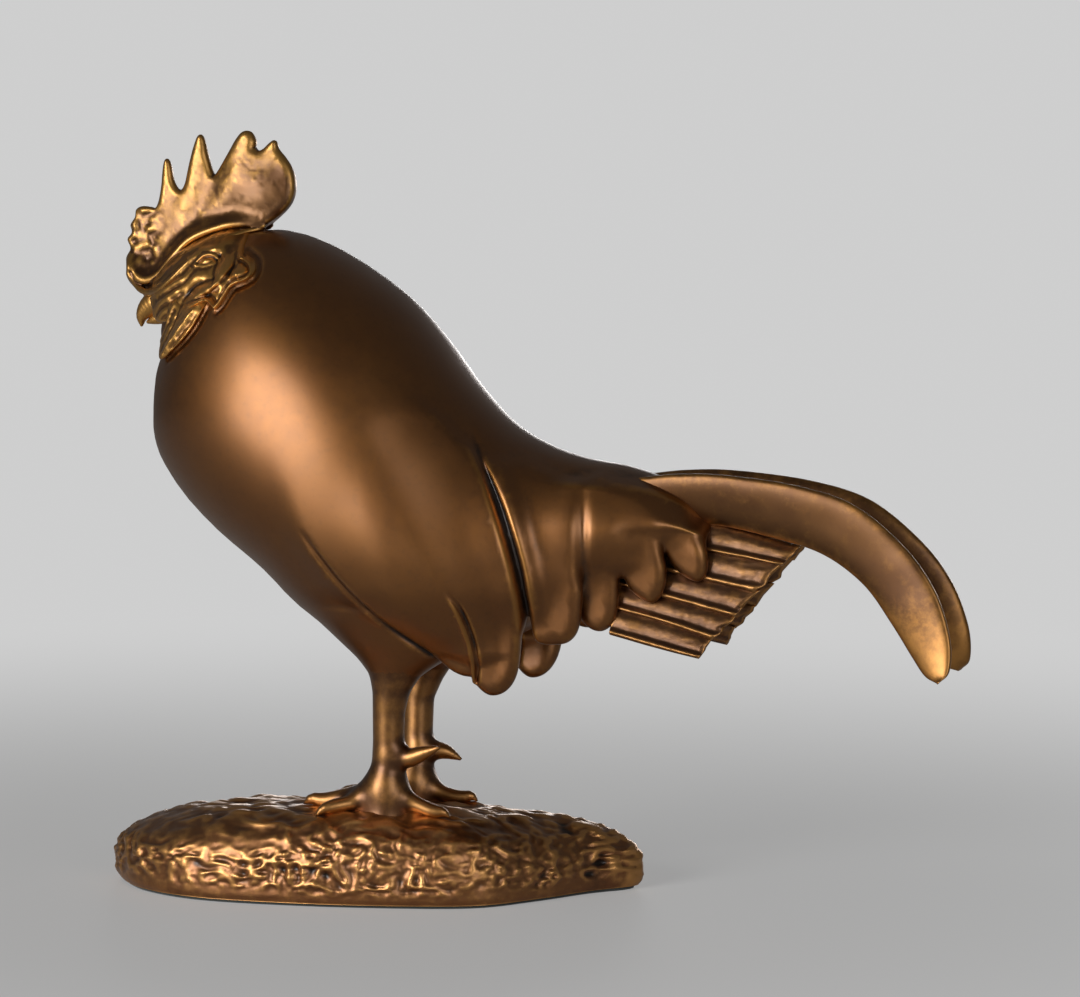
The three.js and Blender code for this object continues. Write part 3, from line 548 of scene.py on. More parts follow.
def felt_sheet():
    """The sheet with softly rounded edges, and its flat area and size"""
    turns = np.linspace(-math.pi, math.pi, 320, endpoint=False)
    rim = rock_skin(turns, np.ones_like(turns))
    reach = np.hypot(rim[:, 0], rim[:, 1])
    cut = reach - FELT_INSET + 0.12 * lumps(rim, 3, 20)
    heading = np.stack([np.cos(turns), np.sin(turns)], 1)
    rings = []
    for share, rise in FELT_PROFILE:
        edge = share * cut if share < 0.9 else cut - (1 - share) * FELT_ROUNDING
        flat = heading * edge[:, None]
        rings.append(np.column_stack([flat, np.full(len(turns), rise * FELT_THICKNESS)]))
    corner = heading * cut[:, None]
    x, y = corner.T
    area = 0.5 * abs(np.sum(x * np.roll(y, -1) - y * np.roll(x, -1)))
    size = corner.max(0) - corner.min(0)
    return loft(np.array(rings)), area * MM * MM, size * MM


def felt_material():
    """Dark wool with fine fibres"""
    material, tree, shader = new_material("wool felt")
    fibres = noise(tree, here(tree), scale=900, detail=6, bent=1.5)
    patches = noise(tree, here(tree), scale=70, detail=2)
    feed(tree, shader, {
        "Sheen Weight": 0.4, "Sheen Roughness": 0.6,
        "Base Color": mixed(tree, fibres, (0.010, 0.014, 0.012, 1), (0.030, 0.038, 0.034, 1)),
        "Roughness": spread(tree, patches, 0, 1, 0.85, 1, "LINEAR"),
        "Normal": relief(tree, fibres, 0.8, 0.2),
    })
    return material


(felt_points, felt_faces), felt_area, felt_size = felt_sheet()
felt = cast("felt_sheet", felt_points, felt_faces, felt_material(), "felt", ["base_felt"])
tuple(felt_size)

# Legs: each is one bronze casting with a smooth shank, a spur, three front toes and a hind
# toe that end in claws. It is bolted to the rock, and its thigh runs up into the belly.
SHANK_THICKNESS = 14
TOE_RADIUS = 3.9
LEG_PITCH = 0.75
# Reach along x, reach outwards and bend of a toe
MIDDLE_TOE = (-36.5, 3, 1.5)
OTHER_TOES = ((-26, 16, 1), (-30, -14, -1), (30, 1, -1))
# Share of the way along a toe and the height of its middle over the rock
TOE_LINE = ((0, 9), (0.26, 6.2), (0.5, 3.6), (0.74, 2.8), (0.9, 3.0), (1, 0.8))
SPUR_RADII = (5.4, 4.3, 3.2, 1.0)
SPUR_HEIGHT = 24
THIGH_SEAM = 104  # height where the leg's skin passes into the body's
EDGE_SCALE = (1.6, 6.0)  # fine and broad distance over which edges and hollows are found
EDGE_GAINS = (5.0, 1.0)
SKIN_EVENNESS = 0.015  # how flat the skin has to be for its small faces to be merged


def space(low, high, pitch):
    """Sample points of a box, as three open axes"""
    lines = [np.arange(a, b + pitch / 2, pitch, dtype=np.float32) for a, b in zip(low, high)]
    return np.meshgrid(*lines, indexing="ij", sparse=True)


def blend(a, b, soft):
    """The nearer of two distances, rounded where they meet"""
    gap = np.maximum(soft - np.abs(a - b), 0) / soft
    return np.minimum(a, b) - gap * gap * soft / 4


def limb(grid, points, radii, steps=10):
    """Distance to a round limb along a smooth line through points, as thick as the radii say"""
    shares = np.linspace(0, 1, steps + 1)
    line = between(points, shares)
    thick = between([[r] for r in radii], shares)[:, 0]
    field = None
    for a, b, first, last in zip(line, line[1:], thick, thick[1:]):
        along = b - a
        offset = [axis - np.float32(start) for axis, start in zip(grid, a)]
        share = sum(o * np.float32(d) for o, d in zip(offset, along)) / np.float32(along @ along)
        share = np.clip(share, 0, 1)
        away = sum((o - share * np.float32(d)) ** 2 for o, d in zip(offset, along))
        bare = np.sqrt(away) - (first + (last - first) * share)
        field = bare if field is None else np.minimum(field, bare)
    return field


def evened(field, reach):
    """Field averaged over a cube of cells, twice"""
    wide = 2 * reach + 1
    for axis in (0, 1, 2) * 2:
        pad = [(reach + 1, reach) if i == axis else (0, 0) for i in range(3)]
        total = np.cumsum(np.pad(field, pad, mode="edge"), axis, dtype=np.float64)
        total = np.moveaxis(total, axis, 0)
        field = np.moveaxis((total[wide:] - total[:-wide]) / wide, 0, axis).astype(np.float32)
    return field


def read(volume, places):
    """Values of a volume at places between its samples"""
    cell = np.clip(places.astype(int), 0, np.array(volume.shape) - 2)
    s = places - cell
    total = 0
    for corner in np.ndindex(2, 2, 2):
        weight = np.prod(np.where(corner, s, 1 - s), axis=1)
        total = total + weight * volume[tuple((cell + corner).T)]
    return total


def skin_of(field, low, pitch, material, name, slot, solids, scale=EDGE_SCALE, turn=1):
    """Piece with its skin where a field of distances is zero. The masks say how sharply the
    skin bends over a fine and a broad distance, its scale. turn can mirror the piece."""
    field = np.clip(field, -4 * scale[1], 4 * scale[1]).astype(np.float32)
    volume = openvdb.FloatGrid(background=3 * pitch)
    volume.copyFromArray(np.clip(field, -3 * pitch, 3 * pitch))
    places, triangles, quads = volume.convertToPolygons(isovalue=0.0, adaptivity=SKIN_EVENNESS)
    places = places.astype(np.float64)
    masks = []
    for distance, gain in zip(scale, EDGE_GAINS):
        reach = max(1, round(distance / pitch / 1.4))
        height = read(evened(field, reach), places) - read(field, places)
        masks.append(height * gain / (reach * pitch) * 1.4)
    slopes = np.stack([read(part, places) for part in np.gradient(field)], 1)
    normals = slopes / np.maximum(np.linalg.norm(slopes, axis=1, keepdims=True), 1e-6)
    points = (np.asarray(low) + places * pitch) * turn
    faces = quads.tolist() + triangles.tolist()
    return cast(name, points, faces, material, slot, solids, masks, normals * turn)


def footing(sign):
    """Where a leg stands: x, y and the rock's height"""
    x = LEG_X - RIGHT_LEAD if sign > 0 else LEG_X
    y = sign * FOOT_SPACING / 2
    return x, y, rock_top(x, y)


def shank(grid, sign):
    """Distance to the thigh and shank: upright ovals, wide at the belly and at the foot"""
    x_axis, y_axis, z_axis = grid
    x, y, sole = footing(sign)
    half = SHANK_THICKNESS / 2
    lean = 0.02 * (ROCK_HEIGHT - sole)
    rings = [
        (sole - 3, x - 2.4, half + 4.4, half + 3.6), (sole + 3, x - 1.9, half + 2.8, half + 2.2),
        (sole + 9, x - 1.2, half + 1.3, half + 1), (sole + 18, x - 0.4, half + 0.2, half),
        (sole + 30, x, half - 0.2, half - 0.3), (82, x + 0.3, half, half - 0.1),
        (91, LEG_X + 1.6, half + 1.2, half + 0.7), (98, LEG_X + 3.4, half + 4.2, half + 2.2),
        (105, LEG_X + 5.3, half + 9.4, half + 4.6), (113, LEG_X + 5.6, half + 14.8, half + 7.5),
        (124, LEG_X + 5.2, half + 19, half + 9), (138, LEG_X + 8, half + 17, half + 9),
    ]
    levels = [r[0] for r in rings]
    middle, long, wide = (np.interp(z_axis, levels, [r[i] for r in rings]) for i in (1, 2, 3))
    smooth = 5 if LEG_PITCH < 1 else 3
    for _ in range(smooth):
        for row in (middle, long, wide):
            row[0, 0, 1:-1] = (row[0, 0, :-2] + 2 * row[0, 0, 1:-1] + row[0, 0, 2:]) / 4
    across = (x_axis - middle - lean) / long
    aside = (y_axis - y - sign * 0.03 * (z_axis - sole)) / wide
    ring = np.sqrt(across**2 + aside**2) + 1e-6
    slope = np.sqrt((across / long) ** 2 + (aside / wide) ** 2) / ring + 1e-6
    return (ring - 1) / slope


def toes(grid, sign):
    """Distance to the toes with their claws"""
    x, y, _ = footing(sign)

    def toe(reach_x, reach_y, bend, thick=1.0):
        places = []
        for share, lift in TOE_LINE:
            toe_x = x - 2 + share * reach_x
            toe_y = y + sign * reach_y * share + bend * math.sin(share * math.pi)
            places.append((toe_x, toe_y, rock_top(toe_x, toe_y) + lift))
        r = TOE_RADIUS * thick
        return limb(grid, places, [r * 1.8, r * 1.3, r, r * 0.92, r * 0.62, 0.5], 12)

    field = toe(*MIDDLE_TOE)
    for course in OTHER_TOES:
        field = blend(field, toe(*course, thick=0.88), 5)
    return field


def spur(grid, sign, reach, rise):
    """Distance to the spur at the back of a shank"""
    x, y, sole = footing(sign)
    line = [
        (x + lead, y + sign * 0.19 * lead, sole + SPUR_HEIGHT + lift)
        for lead, lift in ((2, 0), (reach * 0.4, -0.8), (reach * 0.68, rise * 0.35), (reach, rise))
    ]
    return limb(grid, line, SPUR_RADII)


def leg(name, sign, reach, rise):
    """One leg, with its spur's reach and rise"""
    _, y, sole = footing(sign)
    low = (-36, y - 24, sole - 12)
    grid = space(low, (52, y + 24, 122), LEG_PITCH)
    z = grid[2]
    field = blend(blend(shank(grid, sign), toes(grid, sign), 6), spur(grid, sign, reach, rise), 4)
    sunk = np.clip((z - THIGH_SEAM) * 0.05, -0.05, 2)
    field = np.maximum(field + np.maximum(sunk, 0), np.abs(z - 58) - 60)
    field = np.maximum(field, sole - 8 - z)
    return skin_of(field, low, LEG_PITCH, LEG_BRONZE, f"leg_casting_{name}", "patina", [f"leg_{name}"])


LEG_BRONZE = bronze("leg bronze", (0.12, 0.043, 0.008), (0.4, 0.18, 0.04), rubbed_and_painted_light=0.05)
leg("left", -1, reach=24, rise=4.6)
leg("right", 1, reach=19, rise=-4.4)

# Body and feathers: the bronze egg of the body with the wing lobes, the flank feathers and
# the saddle lobes is one skin. The real ones are cast apart, welded on and chased until no
# seam shows at their roots, so only their free edges and tips stand clear.
BODY_PITCH = 0.8
BODY_ROUNDNESS = 2.15
SEAT_EVENING = 4  # distance over which the seat of a lobe is evened out
SEAT_SOFTNESS = 14  # how gently the seat leaves the body
HALVINGS = 18  # rounds of the search for a place's station
# Stations from the head to the rump: top x and z, bottom x and z, half width
BODY_STATIONS = [
    (-78, 284, -101, 246, 19), (-66, 288, -100, 239, 25), (-53, 288.6, -97.5, 232, 28),
    (-42, 288.4, -100, 217, 38.5), (-26, 283.7, -98.7, 193, 49.5), (-6, 272.9, -87.2, 174, 57.5),
    (13, 259, -69.5, 156.5, 61.3), (29, 241.6, -48, 140, 62), (44, 222.6, -29, 122.5, 59),
    (60, 207, -4, 108.5, 53.3), (77, 198, 31, 105, 46), (94, 193, 62, 114, 38),
    (111, 190.6, 92, 131, 30), (125, 187, 112, 143, 24), (135, 183.4, 128, 150, 18),
    (143.5, 178.4, 138, 154, 13), (149, 172.5, 145, 158, 9.5),
]
# Lobes seen from the side, as closed outlines of x and z
WING_FRONT = [
    (-22, 205), (-17, 175), (-10, 157.5), (3, 141), (16, 126.5), (28, 115.8), (37, 108.2), (44, 102.6),
    (50, 100.4), (55, 101.2), (58.4, 106), (58, 116), (54, 130), (48, 145), (38, 163), (30, 183), (14, 208),
]
WING_REAR = [
    (52.4, 104), (54.8, 97), (60.6, 92.6), (67.6, 94.6), (72.8, 102), (75.8, 116), (77.6, 134), (76, 150),
    (73, 164), (67.4, 179), (60, 193), (51, 207), (38, 219), (18, 214), (16, 190), (20, 155), (28, 128),
    (48, 114),
]
FLANK = [
    (52, 214), (58, 191), (66, 174), (70, 154), (72.6, 137), (75.2, 125), (78.4, 118.6), (84, 116),
    (90, 115.8), (96, 117.2), (100.4, 122.5), (102.6, 134), (103.4, 152), (102, 172), (98, 191), (82, 212),
]
SADDLE_FRONT = [
    (95, 204), (95, 176), (95, 153), (97, 132), (101, 124), (107.4, 121.2), (113, 124.4),
    (115.8, 132), (116.4, 141), (116.4, 150), (117, 164), (119, 196),
]
SADDLE_MIDDLE = [
    (108, 200), (113, 166), (116.5, 150), (119.5, 141.5), (125, 136), (130.5, 134.2), (134.8, 138.4),
    (136.8, 147), (135.4, 157), (134, 167), (133, 182), (122, 200),
]
SADDLE_REAR = [
    (116, 196), (124, 178), (130.6, 166), (134.4, 157), (138, 150), (144.2, 145), (150, 143.6),
    (153.4, 148.6), (153, 158), (148.4, 168.4), (141, 177.9), (134, 185), (124, 194),
]
# How far out a lobe hangs, below what height it leans in under the belly, and by what slope
WING_HANG = (35.4, 138, 0.13)
FLANK_HANG = (34, 145, 0.1)
WING_DISH = ((66, 114), 5.4, 14, 4, 1.3)  # place, half length, half width, turn and depth
WING_HALF = 4.2  # half thicknesses
FLANK_HALF = 3.8
# The saddle's outlines, hangs, half thicknesses, rises over one another and least reaches
SADDLE = (
    (SADDLE_FRONT, (26, 152, 0.08), 3.8, 0, 12),
    (SADDLE_MIDDLE, (24, 160, 0.1), 3.6, 0.5, 11),
    (SADDLE_REAR, (19.5, 166, 0.1), 3.6, 0.3, 10),
)
# Lines of the side view along which the skin is carved, or raised in a ridge
WING_GAP = [(50, 212), (54.4, 201), (62.4, 188), (70, 173), (75.6, 157), (78.6, 141), (78.8, 124), (78, 104)]
WING_SPLIT = [(48.5, 140.8), (53.4, 132), (56, 121), (57, 110), (55.6, 99)]
TAIL_GAP = [(96, 204), (100.5, 190), (103.2, 173), (103.6, 155), (102.6, 138), (101.4, 120)]
THIGH_CREASE = [(-13, 164), (-7, 155), (3, 141), (16, 126.5), (27, 117), (35, 110)]
FLANK_RIDGE = [(62, 203), (68, 190), (75.2, 174), (80.4, 157), (83.6, 140), (84.2, 124)]
# The rear edges of the face and of the wattle, which stand clear of the neck
FACE_SHADOW = [
    (-50.8, 281), (-47.6, 279.6), (-43.9, 277.5), (-41.8, 273.4), (-42.4, 269.6), (-45.3, 267.3),
    (-48.2, 266.1), (-50.8, 264.9), (-52.6, 261.8), (-54.8, 257.6), (-57.6, 254.9),
]
WATTLE_SHADOW = [(-62.6, 257), (-64.6, 253), (-67.6, 247.6), (-73, 241.5), (-79.2, 236.6), (-83, 233.6)]
FEATHERS = ["wing_front", "wing_rear", "flank_feather", "saddle_front", "saddle_middle", "saddle_rear"]


def side_view(low, high, pitch):
    """Places of the side view as two open axes"""
    x = np.arange(low[0], high[0] + pitch / 2, pitch)
    z = np.arange(low[2], high[2] + pitch / 2, pitch)
    return np.meshgrid(x, z, indexing="ij", sparse=True)


def lie_of(stations, x, z):
    """How far down its station each place lies, from -1 to 1, the station's half length
    and half width there, and how far the place is beyond the end stations"""
    x, z = np.broadcast_arrays(x, z)

    def station(share):
        row = between(stations, share)
        middle = (row[..., 0:2] + row[..., 2:4]) / 2
        half = (row[..., 2:4] - row[..., 0:2]) / 2
        behind = half[..., 0] * (z - middle[..., 1]) - half[..., 1] * (x - middle[..., 0])
        return middle, half, np.hypot(half[..., 0], half[..., 1]), row[..., 4], behind

    low, high = np.zeros(x.shape), np.ones(x.shape)
    for _ in range(HALVINGS):
        share = (low + high) / 2
        behind = station(share)[4] > 0
        low, high = np.where(behind, share, low), np.where(behind, high, share)
    middle, half, length, width, _ = station(low)
    depth = ((x - middle[..., 0]) * half[..., 0] + (z - middle[..., 1]) * half[..., 1]) / length**2
    ahead = -station(np.zeros(x.shape))[4] / station(np.zeros(x.shape))[2]
    beyond = station(np.ones(x.shape))[4] / station(np.ones(x.shape))[2]
    return depth, length, width, np.maximum(ahead, beyond)


def through(part):
    """Values of the side view, made to go for the whole depth"""
    return np.float32(part)[:, None, :]


def both_sides(field):
    """Field of the left side together with its mirror"""
    return np.concatenate([field, field[:, -2::-1]], axis=1)


def girth(lie, y, roundness, cap):
    """Distance to a body of ovals, from the lie of each place and its distance to the side"""
    depth, length, width, beyond = map(through, lie)
    down = np.abs(depth) + np.float32(1e-4)
    out = np.abs(y) / width + np.float32(1e-4)
    power = np.float32(roundness)
    ring = (down**power + out**power) ** (1 / power)
    lean = ring ** (1 - power)
    fall, lead = lean * down ** (power - 1) / length, lean * out ** (power - 1) / width
    slope = np.sqrt(fall**2 + lead**2)
    return -blend((1 - ring) / np.maximum(slope, 1e-4), -beyond, cap)


def side_width(lie, roundness):
    """Half width of the body at each place of the side view"""
    depth, _, width, _ = lie
    return width * np.maximum(1 - np.abs(depth) ** roundness, 0) ** (1 / roundness)


def closed_line(points, steps=8):
    """Smooth closed line through points"""
    wrapped = [points[-1], *points, *points[:2]]
    count = len(points)
    shares = (1 + np.arange(count * steps) / steps) / (count + 2)
    return between(wrapped, shares)


def to_line(points, x, z):
    """Distance of each place of the side view to the straight lines from point to point"""
    x, z = np.broadcast_arrays(x, z)
    nearest = np.full(x.shape, 1e9)
    for (ax, az), (bx, bz) in zip(points, points[1:]):
        dx, dz = bx - ax, bz - az
        share = np.clip(((x - ax) * dx + (z - az) * dz) / (dx * dx + dz * dz + 1e-12), 0, 1)
        nearest = np.minimum(nearest, (x - ax - share * dx) ** 2 + (z - az - share * dz) ** 2)
    return np.sqrt(nearest)


def near(line, x, z):
    """Distance of each place of the side view to an open smooth line"""
    return to_line(between(line, np.linspace(0, 1, 6 * len(line))), x, z)


def edge_distance(outline, x, z):
    """Distance of each place of the side view to a closed outline, negative inside it"""
    closed = np.vstack([outline, outline[:1]])
    inside = np.zeros(np.broadcast_shapes(x.shape, z.shape), bool)
    for (ax, az), (bx, bz) in zip(closed, closed[1:]):
        if bz != az:
            inside ^= ((az > z) != (bz > z)) & (x < ax + (z - az) / (bz - az) * (bx - ax))
    return np.where(inside, -1, 1) * to_line(closed, x, z)


def swelling(middle, long, wide, turn, height, x, z):
    """Rounded oval swelling"""
    c, s = math.cos(math.radians(turn)), math.sin(math.radians(turn))
    a = ((x - middle[0]) * c + (z - middle[1]) * s) / long
    b = ((z - middle[1]) * c - (x - middle[0]) * s) / wide
    return height * np.exp(-(a * a + b * b))


def plate(y, outline, middle, half, edge):
    """Distance to a plate with rounded edges: the side view's distance to its outline, the
    place of its middle, its half thickness and how far in its edge starts to round"""
    steep = np.minimum(np.hypot(*np.gradient(middle, BODY_PITCH)), 1.5)
    slope = 1 / np.sqrt(1 + steep**2)
    parts = (outline, middle, half, edge, slope)
    outline, middle, half, edge, slope = (through(np.broadcast_to(p, outline.shape)) for p in parts)
    reach = half * np.float32(0.96)
    flat = (outline + edge) * (reach / edge)
    deep = np.abs(np.abs(y) - middle) * slope - (half - reach)
    corner = np.sqrt(np.maximum(flat, 0) ** 2 + np.maximum(deep, 0) ** 2)
    return np.minimum(np.maximum(flat, deep), 0) + corner - reach


def feathered_body():
    """One skin over the body, the roots of the thighs and the lobes, carved along the seams"""
    low, high = (-112, -68, 88), (162, 0, 296)
    grid = space(low, high, BODY_PITCH)
    _, y, up = grid
    x, z = side_view(low, high, BODY_PITCH)
    lie = lie_of(BODY_STATIONS, x, z)
    width = side_width(lie, BODY_ROUNDNESS)
    depth = lie[0]
    body = girth(lie, y, BODY_ROUNDNESS, 14)
    thigh = shank(grid, -1)
    thigh = -blend(-thigh, up - (THIGH_SEAM - 12), 3) + np.maximum((THIGH_SEAM - up) * 0.05, 0)
    thigh = thigh + np.maximum(up - 128, 0) * 1.5
    body = blend(body, thigh, 16)

    def hung(hang, least):
        """How far out a hanging lobe's seat lies: on the body, then straight down"""
        free = np.maximum(hang * ramp(-1.0, 0.45, depth), least * ramp(-0.9, 0.0, depth))
        close = np.maximum(SEAT_SOFTNESS - np.abs(width - free), 0)
        seat = np.maximum(width, free) + close**2 / (4 * SEAT_SOFTNESS)
        return evened(seat[:, None, :], round(SEAT_EVENING / BODY_PITCH))[:, 0, :]

    def lobe(outline, hang, half, rise, edge, least=0.0):
        """A lobe that rises over its seat, with a rounded edge, and ends below the back"""
        reach, top, slope = hang
        seat = hung(reach - slope * np.maximum(top - z, 0), least)
        distance = edge_distance(closed_line(outline, 5), x, z)
        return plate(y, distance + 30 * ramp(-0.75, -1.0, depth), seat + rise, half, edge)

    def over(low_z, high_z):
        """1 above high_z and 0 below low_z"""
        return through(ramp(low_z, high_z, z))

    wing_rise = -16 + 12 * ramp(208, 150, z) + 1.7 * ramp(160, 130, z)
    wing_front = lobe(WING_FRONT, WING_HANG, WING_HALF, wing_rise, edge=4.5)
    wing_rise = wing_rise + 0.3 - swelling(*WING_DISH, x, z)
    wing_rear = lobe(WING_REAR, WING_HANG, WING_HALF, wing_rise, edge=5.0)
    wing = blend(wing_front, wing_rear, 0.4 + 14 * over(100, 112) ** 2)
    flank_rise = -15 + 11.4 * ramp(205, 150, z) + 0.8 * ramp(160, 135, z)
    flank = lobe(FLANK, FLANK_HANG, FLANK_HALF, flank_rise, edge=5.0)
    rise = -14 + 10.8 * ramp(-0.95, 0.1, depth)
    front, middle, rear = (
        lobe(outline, hang, half, rise + lift, 4.5, least) for outline, hang, half, lift, least in SADDLE
    )
    saddle = blend(front, middle, 0.4 + 10 * over(141, 152))
    saddle = blend(saddle, rear, 0.4 + 10 * over(158, 168))
    del front, middle, rear, wing_front, wing_rear
    body = blend(body, flank, 1.5 + 10 * over(118, 145))
    body = blend(body, saddle, 1.5 + 14 * over(140, 170))
    body = blend(body, wing, 1.2 + 12 * over(112, 140))

    lines = (WING_GAP, TAIL_GAP, THIGH_CREASE, WING_SPLIT, FLANK_RIDGE)
    wing_gap, tail_gap, crease, split, ridge = (near(line, x, z) for line in lines)
    rim = near([(px - 1.7, pz - 0.8) for px, pz in WING_SPLIT], x, z)
    carved = 3.6 * bell(wing_gap, 1.2 + 0.9 * ramp(200, 150, z)) * ramp(212, 172, z)
    carved += 1.6 * bell(tail_gap, 2.6) * ramp(196, 155, z) * ramp(138, 152, z)
    carved += 1.5 * bell(crease, 1.3) * ramp(168, 150, z)
    carved += (1.8 * bell(split, 0.9) - 1.0 * bell(rim, 1.1)) * ramp(141, 128, z)
    carved -= 1.6 * bell(ridge, 3.2) * ramp(206, 180, z) * ramp(122, 134, z)
    for line in (FACE_SHADOW, WATTLE_SHADOW):
        carved += 1.5 * bell(near(line, x, z), 1.0)
    full = both_sides(body + through(carved))
    solids = ["body_shell"] + [f"{feather}_{side}" for feather in FEATHERS for side in ("left", "right")]
    return skin_of(full, low, BODY_PITCH, BODY_BRONZE, "feathered_body", "patina", solids)


# The body's hollows are darkened strongly: a darker patina, and painted shade in the creases and under the
# rims of the face and the wattles
BODY_BRONZE = bronze(
    "body bronze", (0.2, 0.069, 0.006), (0.39, 0.163, 0.022), dark=(0.013, 0.004, 0.0008),
    rubbed_and_painted_light=-0.08, wear=0.5, dirt_and_shade=2.2, coat=0.7,
)
feathered_body()

# Sickle feathers: two long plumes, one on each side, cast as slim curved blades of bronze
# and welded in under the saddle. They arch back and swing outwards to their drooping tips.
SICKLE_HALF = 4
SICKLE_TIP_SPREAD = 19
SICKLE_SLANT = 5
SEAM = 0.3  # half the gap between the two sickles at their roots
SICKLE_FRONT = [
    (118, 186), (138, 188.5), (160, 188.7), (192, 185.2), (217, 177.8), (238.4, 161.4), (251.8, 144),
    (258.8, 125), (259.3, 111), (255, 105.6),
]
SICKLE_REAR = [
    (116, 162), (136, 166), (156, 166.6), (180, 162.4), (202, 156.4), (220, 144.6), (232.6, 129),
    (242, 115.6), (248.2, 108), (254.4, 105.4),
]
SIDES = (("left", -1), ("right", 1))


def blade(front, rear, steps, across, shape, tip_power=1.6):
    """Rings of a feather between two lines of the side view. shape gives the distance of
    its middle from the middle plane, and its half thickness, at shares t along and u across."""
    t = 1 - (1 - np.linspace(0, 1, steps)) ** tip_power
    fore, aft = between(front, t), between(rear, t)
    turn = np.linspace(0, 2 * math.pi, across, endpoint=False)
    u = (1 - np.sign(np.cos(turn)) * np.abs(np.cos(turn)) ** 0.9) / 2
    swell = np.sign(np.sin(turn)) * np.abs(np.sin(turn)) ** 0.7
    flat = fore[:, None, :] * (1 - u[None, :, None]) + aft[:, None, :] * u[None, :, None]
    middle, half = shape(t[:, None], np.broadcast_to(u, (steps, across)))
    out = middle + half * swell
    return np.stack([flat[..., 0], out, flat[..., 1]], -1)


def sickle_shape(t, u):
    """The blade swings outwards to its tip, slants across and thins towards its rounded end"""
    swing = t**1.5 * (SICKLE_TIP_SPREAD - SICKLE_HALF)
    middle = SEAM + SICKLE_HALF + swing + (1 - u) * SICKLE_SLANT * (1 - t / 2)
    round_tip = np.sqrt(np.clip((1.02 - t) / 0.05, 0, 1))
    return middle, SICKLE_HALF * (0.95 - 0.4 * t) * (0.3 + 0.7 * round_tip)


def sickle_rubbed(x, y, z):
    """Brightest towards the tip and along the lower edge"""
    gap = near(SICKLE_REAR, x, z)
    return 0.8 * ramp(154, 108, z) + 0.5 * bell(gap, 2.2)


SICKLE_BRONZE = bronze(
    "sickle bronze", (0.085, 0.03, 0.005), (0.42, 0.19, 0.04), dark=(0.012, 0.004, 0.001),
    rubbed_and_painted_light=None, coat=0.4,
)
for side, sign in SIDES:
    rings = blade(SICKLE_FRONT, SICKLE_REAR, 190, 64, sickle_shape)
    points, faces = loft(rings)
    points[:, 1] += 0.12 * lumps(points, 9, 30)
    points = points * [1, sign, 1]
    sickle = cast(f"sickle_feather_{side}", points, faces, SICKLE_BRONZE, "patina", [f"sickle_{side}"])
    rub_and_paint_light(sickle, sickle_rubbed)

# Tail fan: five stiff feathers on each side, cast as one bronze panel with a raised lower
# lip on each feather. The panel is welded to the rump, is left rough from the mould, and
# ends unevenly.
FAN_TOP_SPREAD = 6
FAN_BOTTOM_SPREAD = 21
FAN_STEPS = 110
FAN_OVERLAP = 1.12  # width of a feather over the distance to the next one
FAN_BANDS = [
    ((112.4, 120.2), (131, 115.8), (151, 111.6)),
    ((113, 130.8), (136.6, 125.4), (157, 119.4)),
    ((114, 140.6), (142, 134.4), (165, 129)),
    ((117, 149.8), (148, 144.4), (173.6, 139.4)),
    ((119, 159.6), (152, 155.6), (184, 151)),
    ((120, 170), (154, 166), (191, 158.4)),
]


def fan_feather(index):
    """One feather: a flat band whose lower edge is a thick lip over the next one"""
    lower, upper = FAN_BANDS[index], FAN_BANDS[index + 1]
    share = index / (len(FAN_BANDS) - 1)
    step = 1 / (len(FAN_BANDS) - 1)
    overlap = [
        (x0 + FAN_OVERLAP * (x1 - x0), z0 + FAN_OVERLAP * (z1 - z0))
        for (x0, z0), (x1, z1) in zip(lower, upper)
    ]

    def shape(t, u):
        splay = FAN_BOTTOM_SPREAD + (FAN_TOP_SPREAD - FAN_BOTTOM_SPREAD) * (share + step * u)
        lip = bell(u - 0.12, 0.1)
        groove = bell(u - 0.33, 0.07)
        crown = bell(u - 0.62, 0.2)
        half = 1.5 + 0.9 * lip - 0.25 * groove + 0.35 * crown
        middle = splay + 1.5 * (0.5 - u) + 0.35 * lip
        return middle + 0 * t, half * (0.55 + 0.45 * np.sqrt(np.clip((1.0 - t) / 0.04, 0, 1)))

    rings = blade(lower, overlap, FAN_STEPS, 64, shape, 1.1)
    ragged = rings[..., 0]
    end = ramp(0.72, 1.0, np.linspace(0, 1, FAN_STEPS))[:, None]
    heights = np.stack([0 * ragged, rings[..., 2], 0 * ragged], -1).reshape(-1, 3)
    bite = lumps(heights, 2.6, 40 + index)
    rings[..., 0] += end * 1.6 * bite.reshape(ragged.shape)
    return rings


FAN_BRONZE = bronze(
    "fan bronze", (0.09, 0.031, 0.006), (0.42, 0.19, 0.042),
    rubbed_and_painted_light=0.18, grain=300, bump=0.06,
)
for side, sign in SIDES:
    all_points, all_faces = [], []
    for index in range(len(FAN_BANDS) - 1):
        points, faces = loft(fan_feather(index))
        scratch = lumps(points * [0.25, 1, 1], 1.6, 50) + 0.6 * lumps(points * [0.5, 1, 1.5], 0.9, 51)
        points[:, 1] += 0.1 * scratch + 0.2 * lumps(points, 7, 52)
        faces = outward(points, faces)
        base = sum(len(p) for p in all_points)
        all_faces += [[base + i for i in f] for f in faces]
        all_points.append(points)
    points = np.vstack(all_points) * [1, sign, 1]
    cast(f"fan_panel_{side}", points, all_faces, FAN_BRONZE, "rubbed_gold", [f"tail_fan_{side}"])

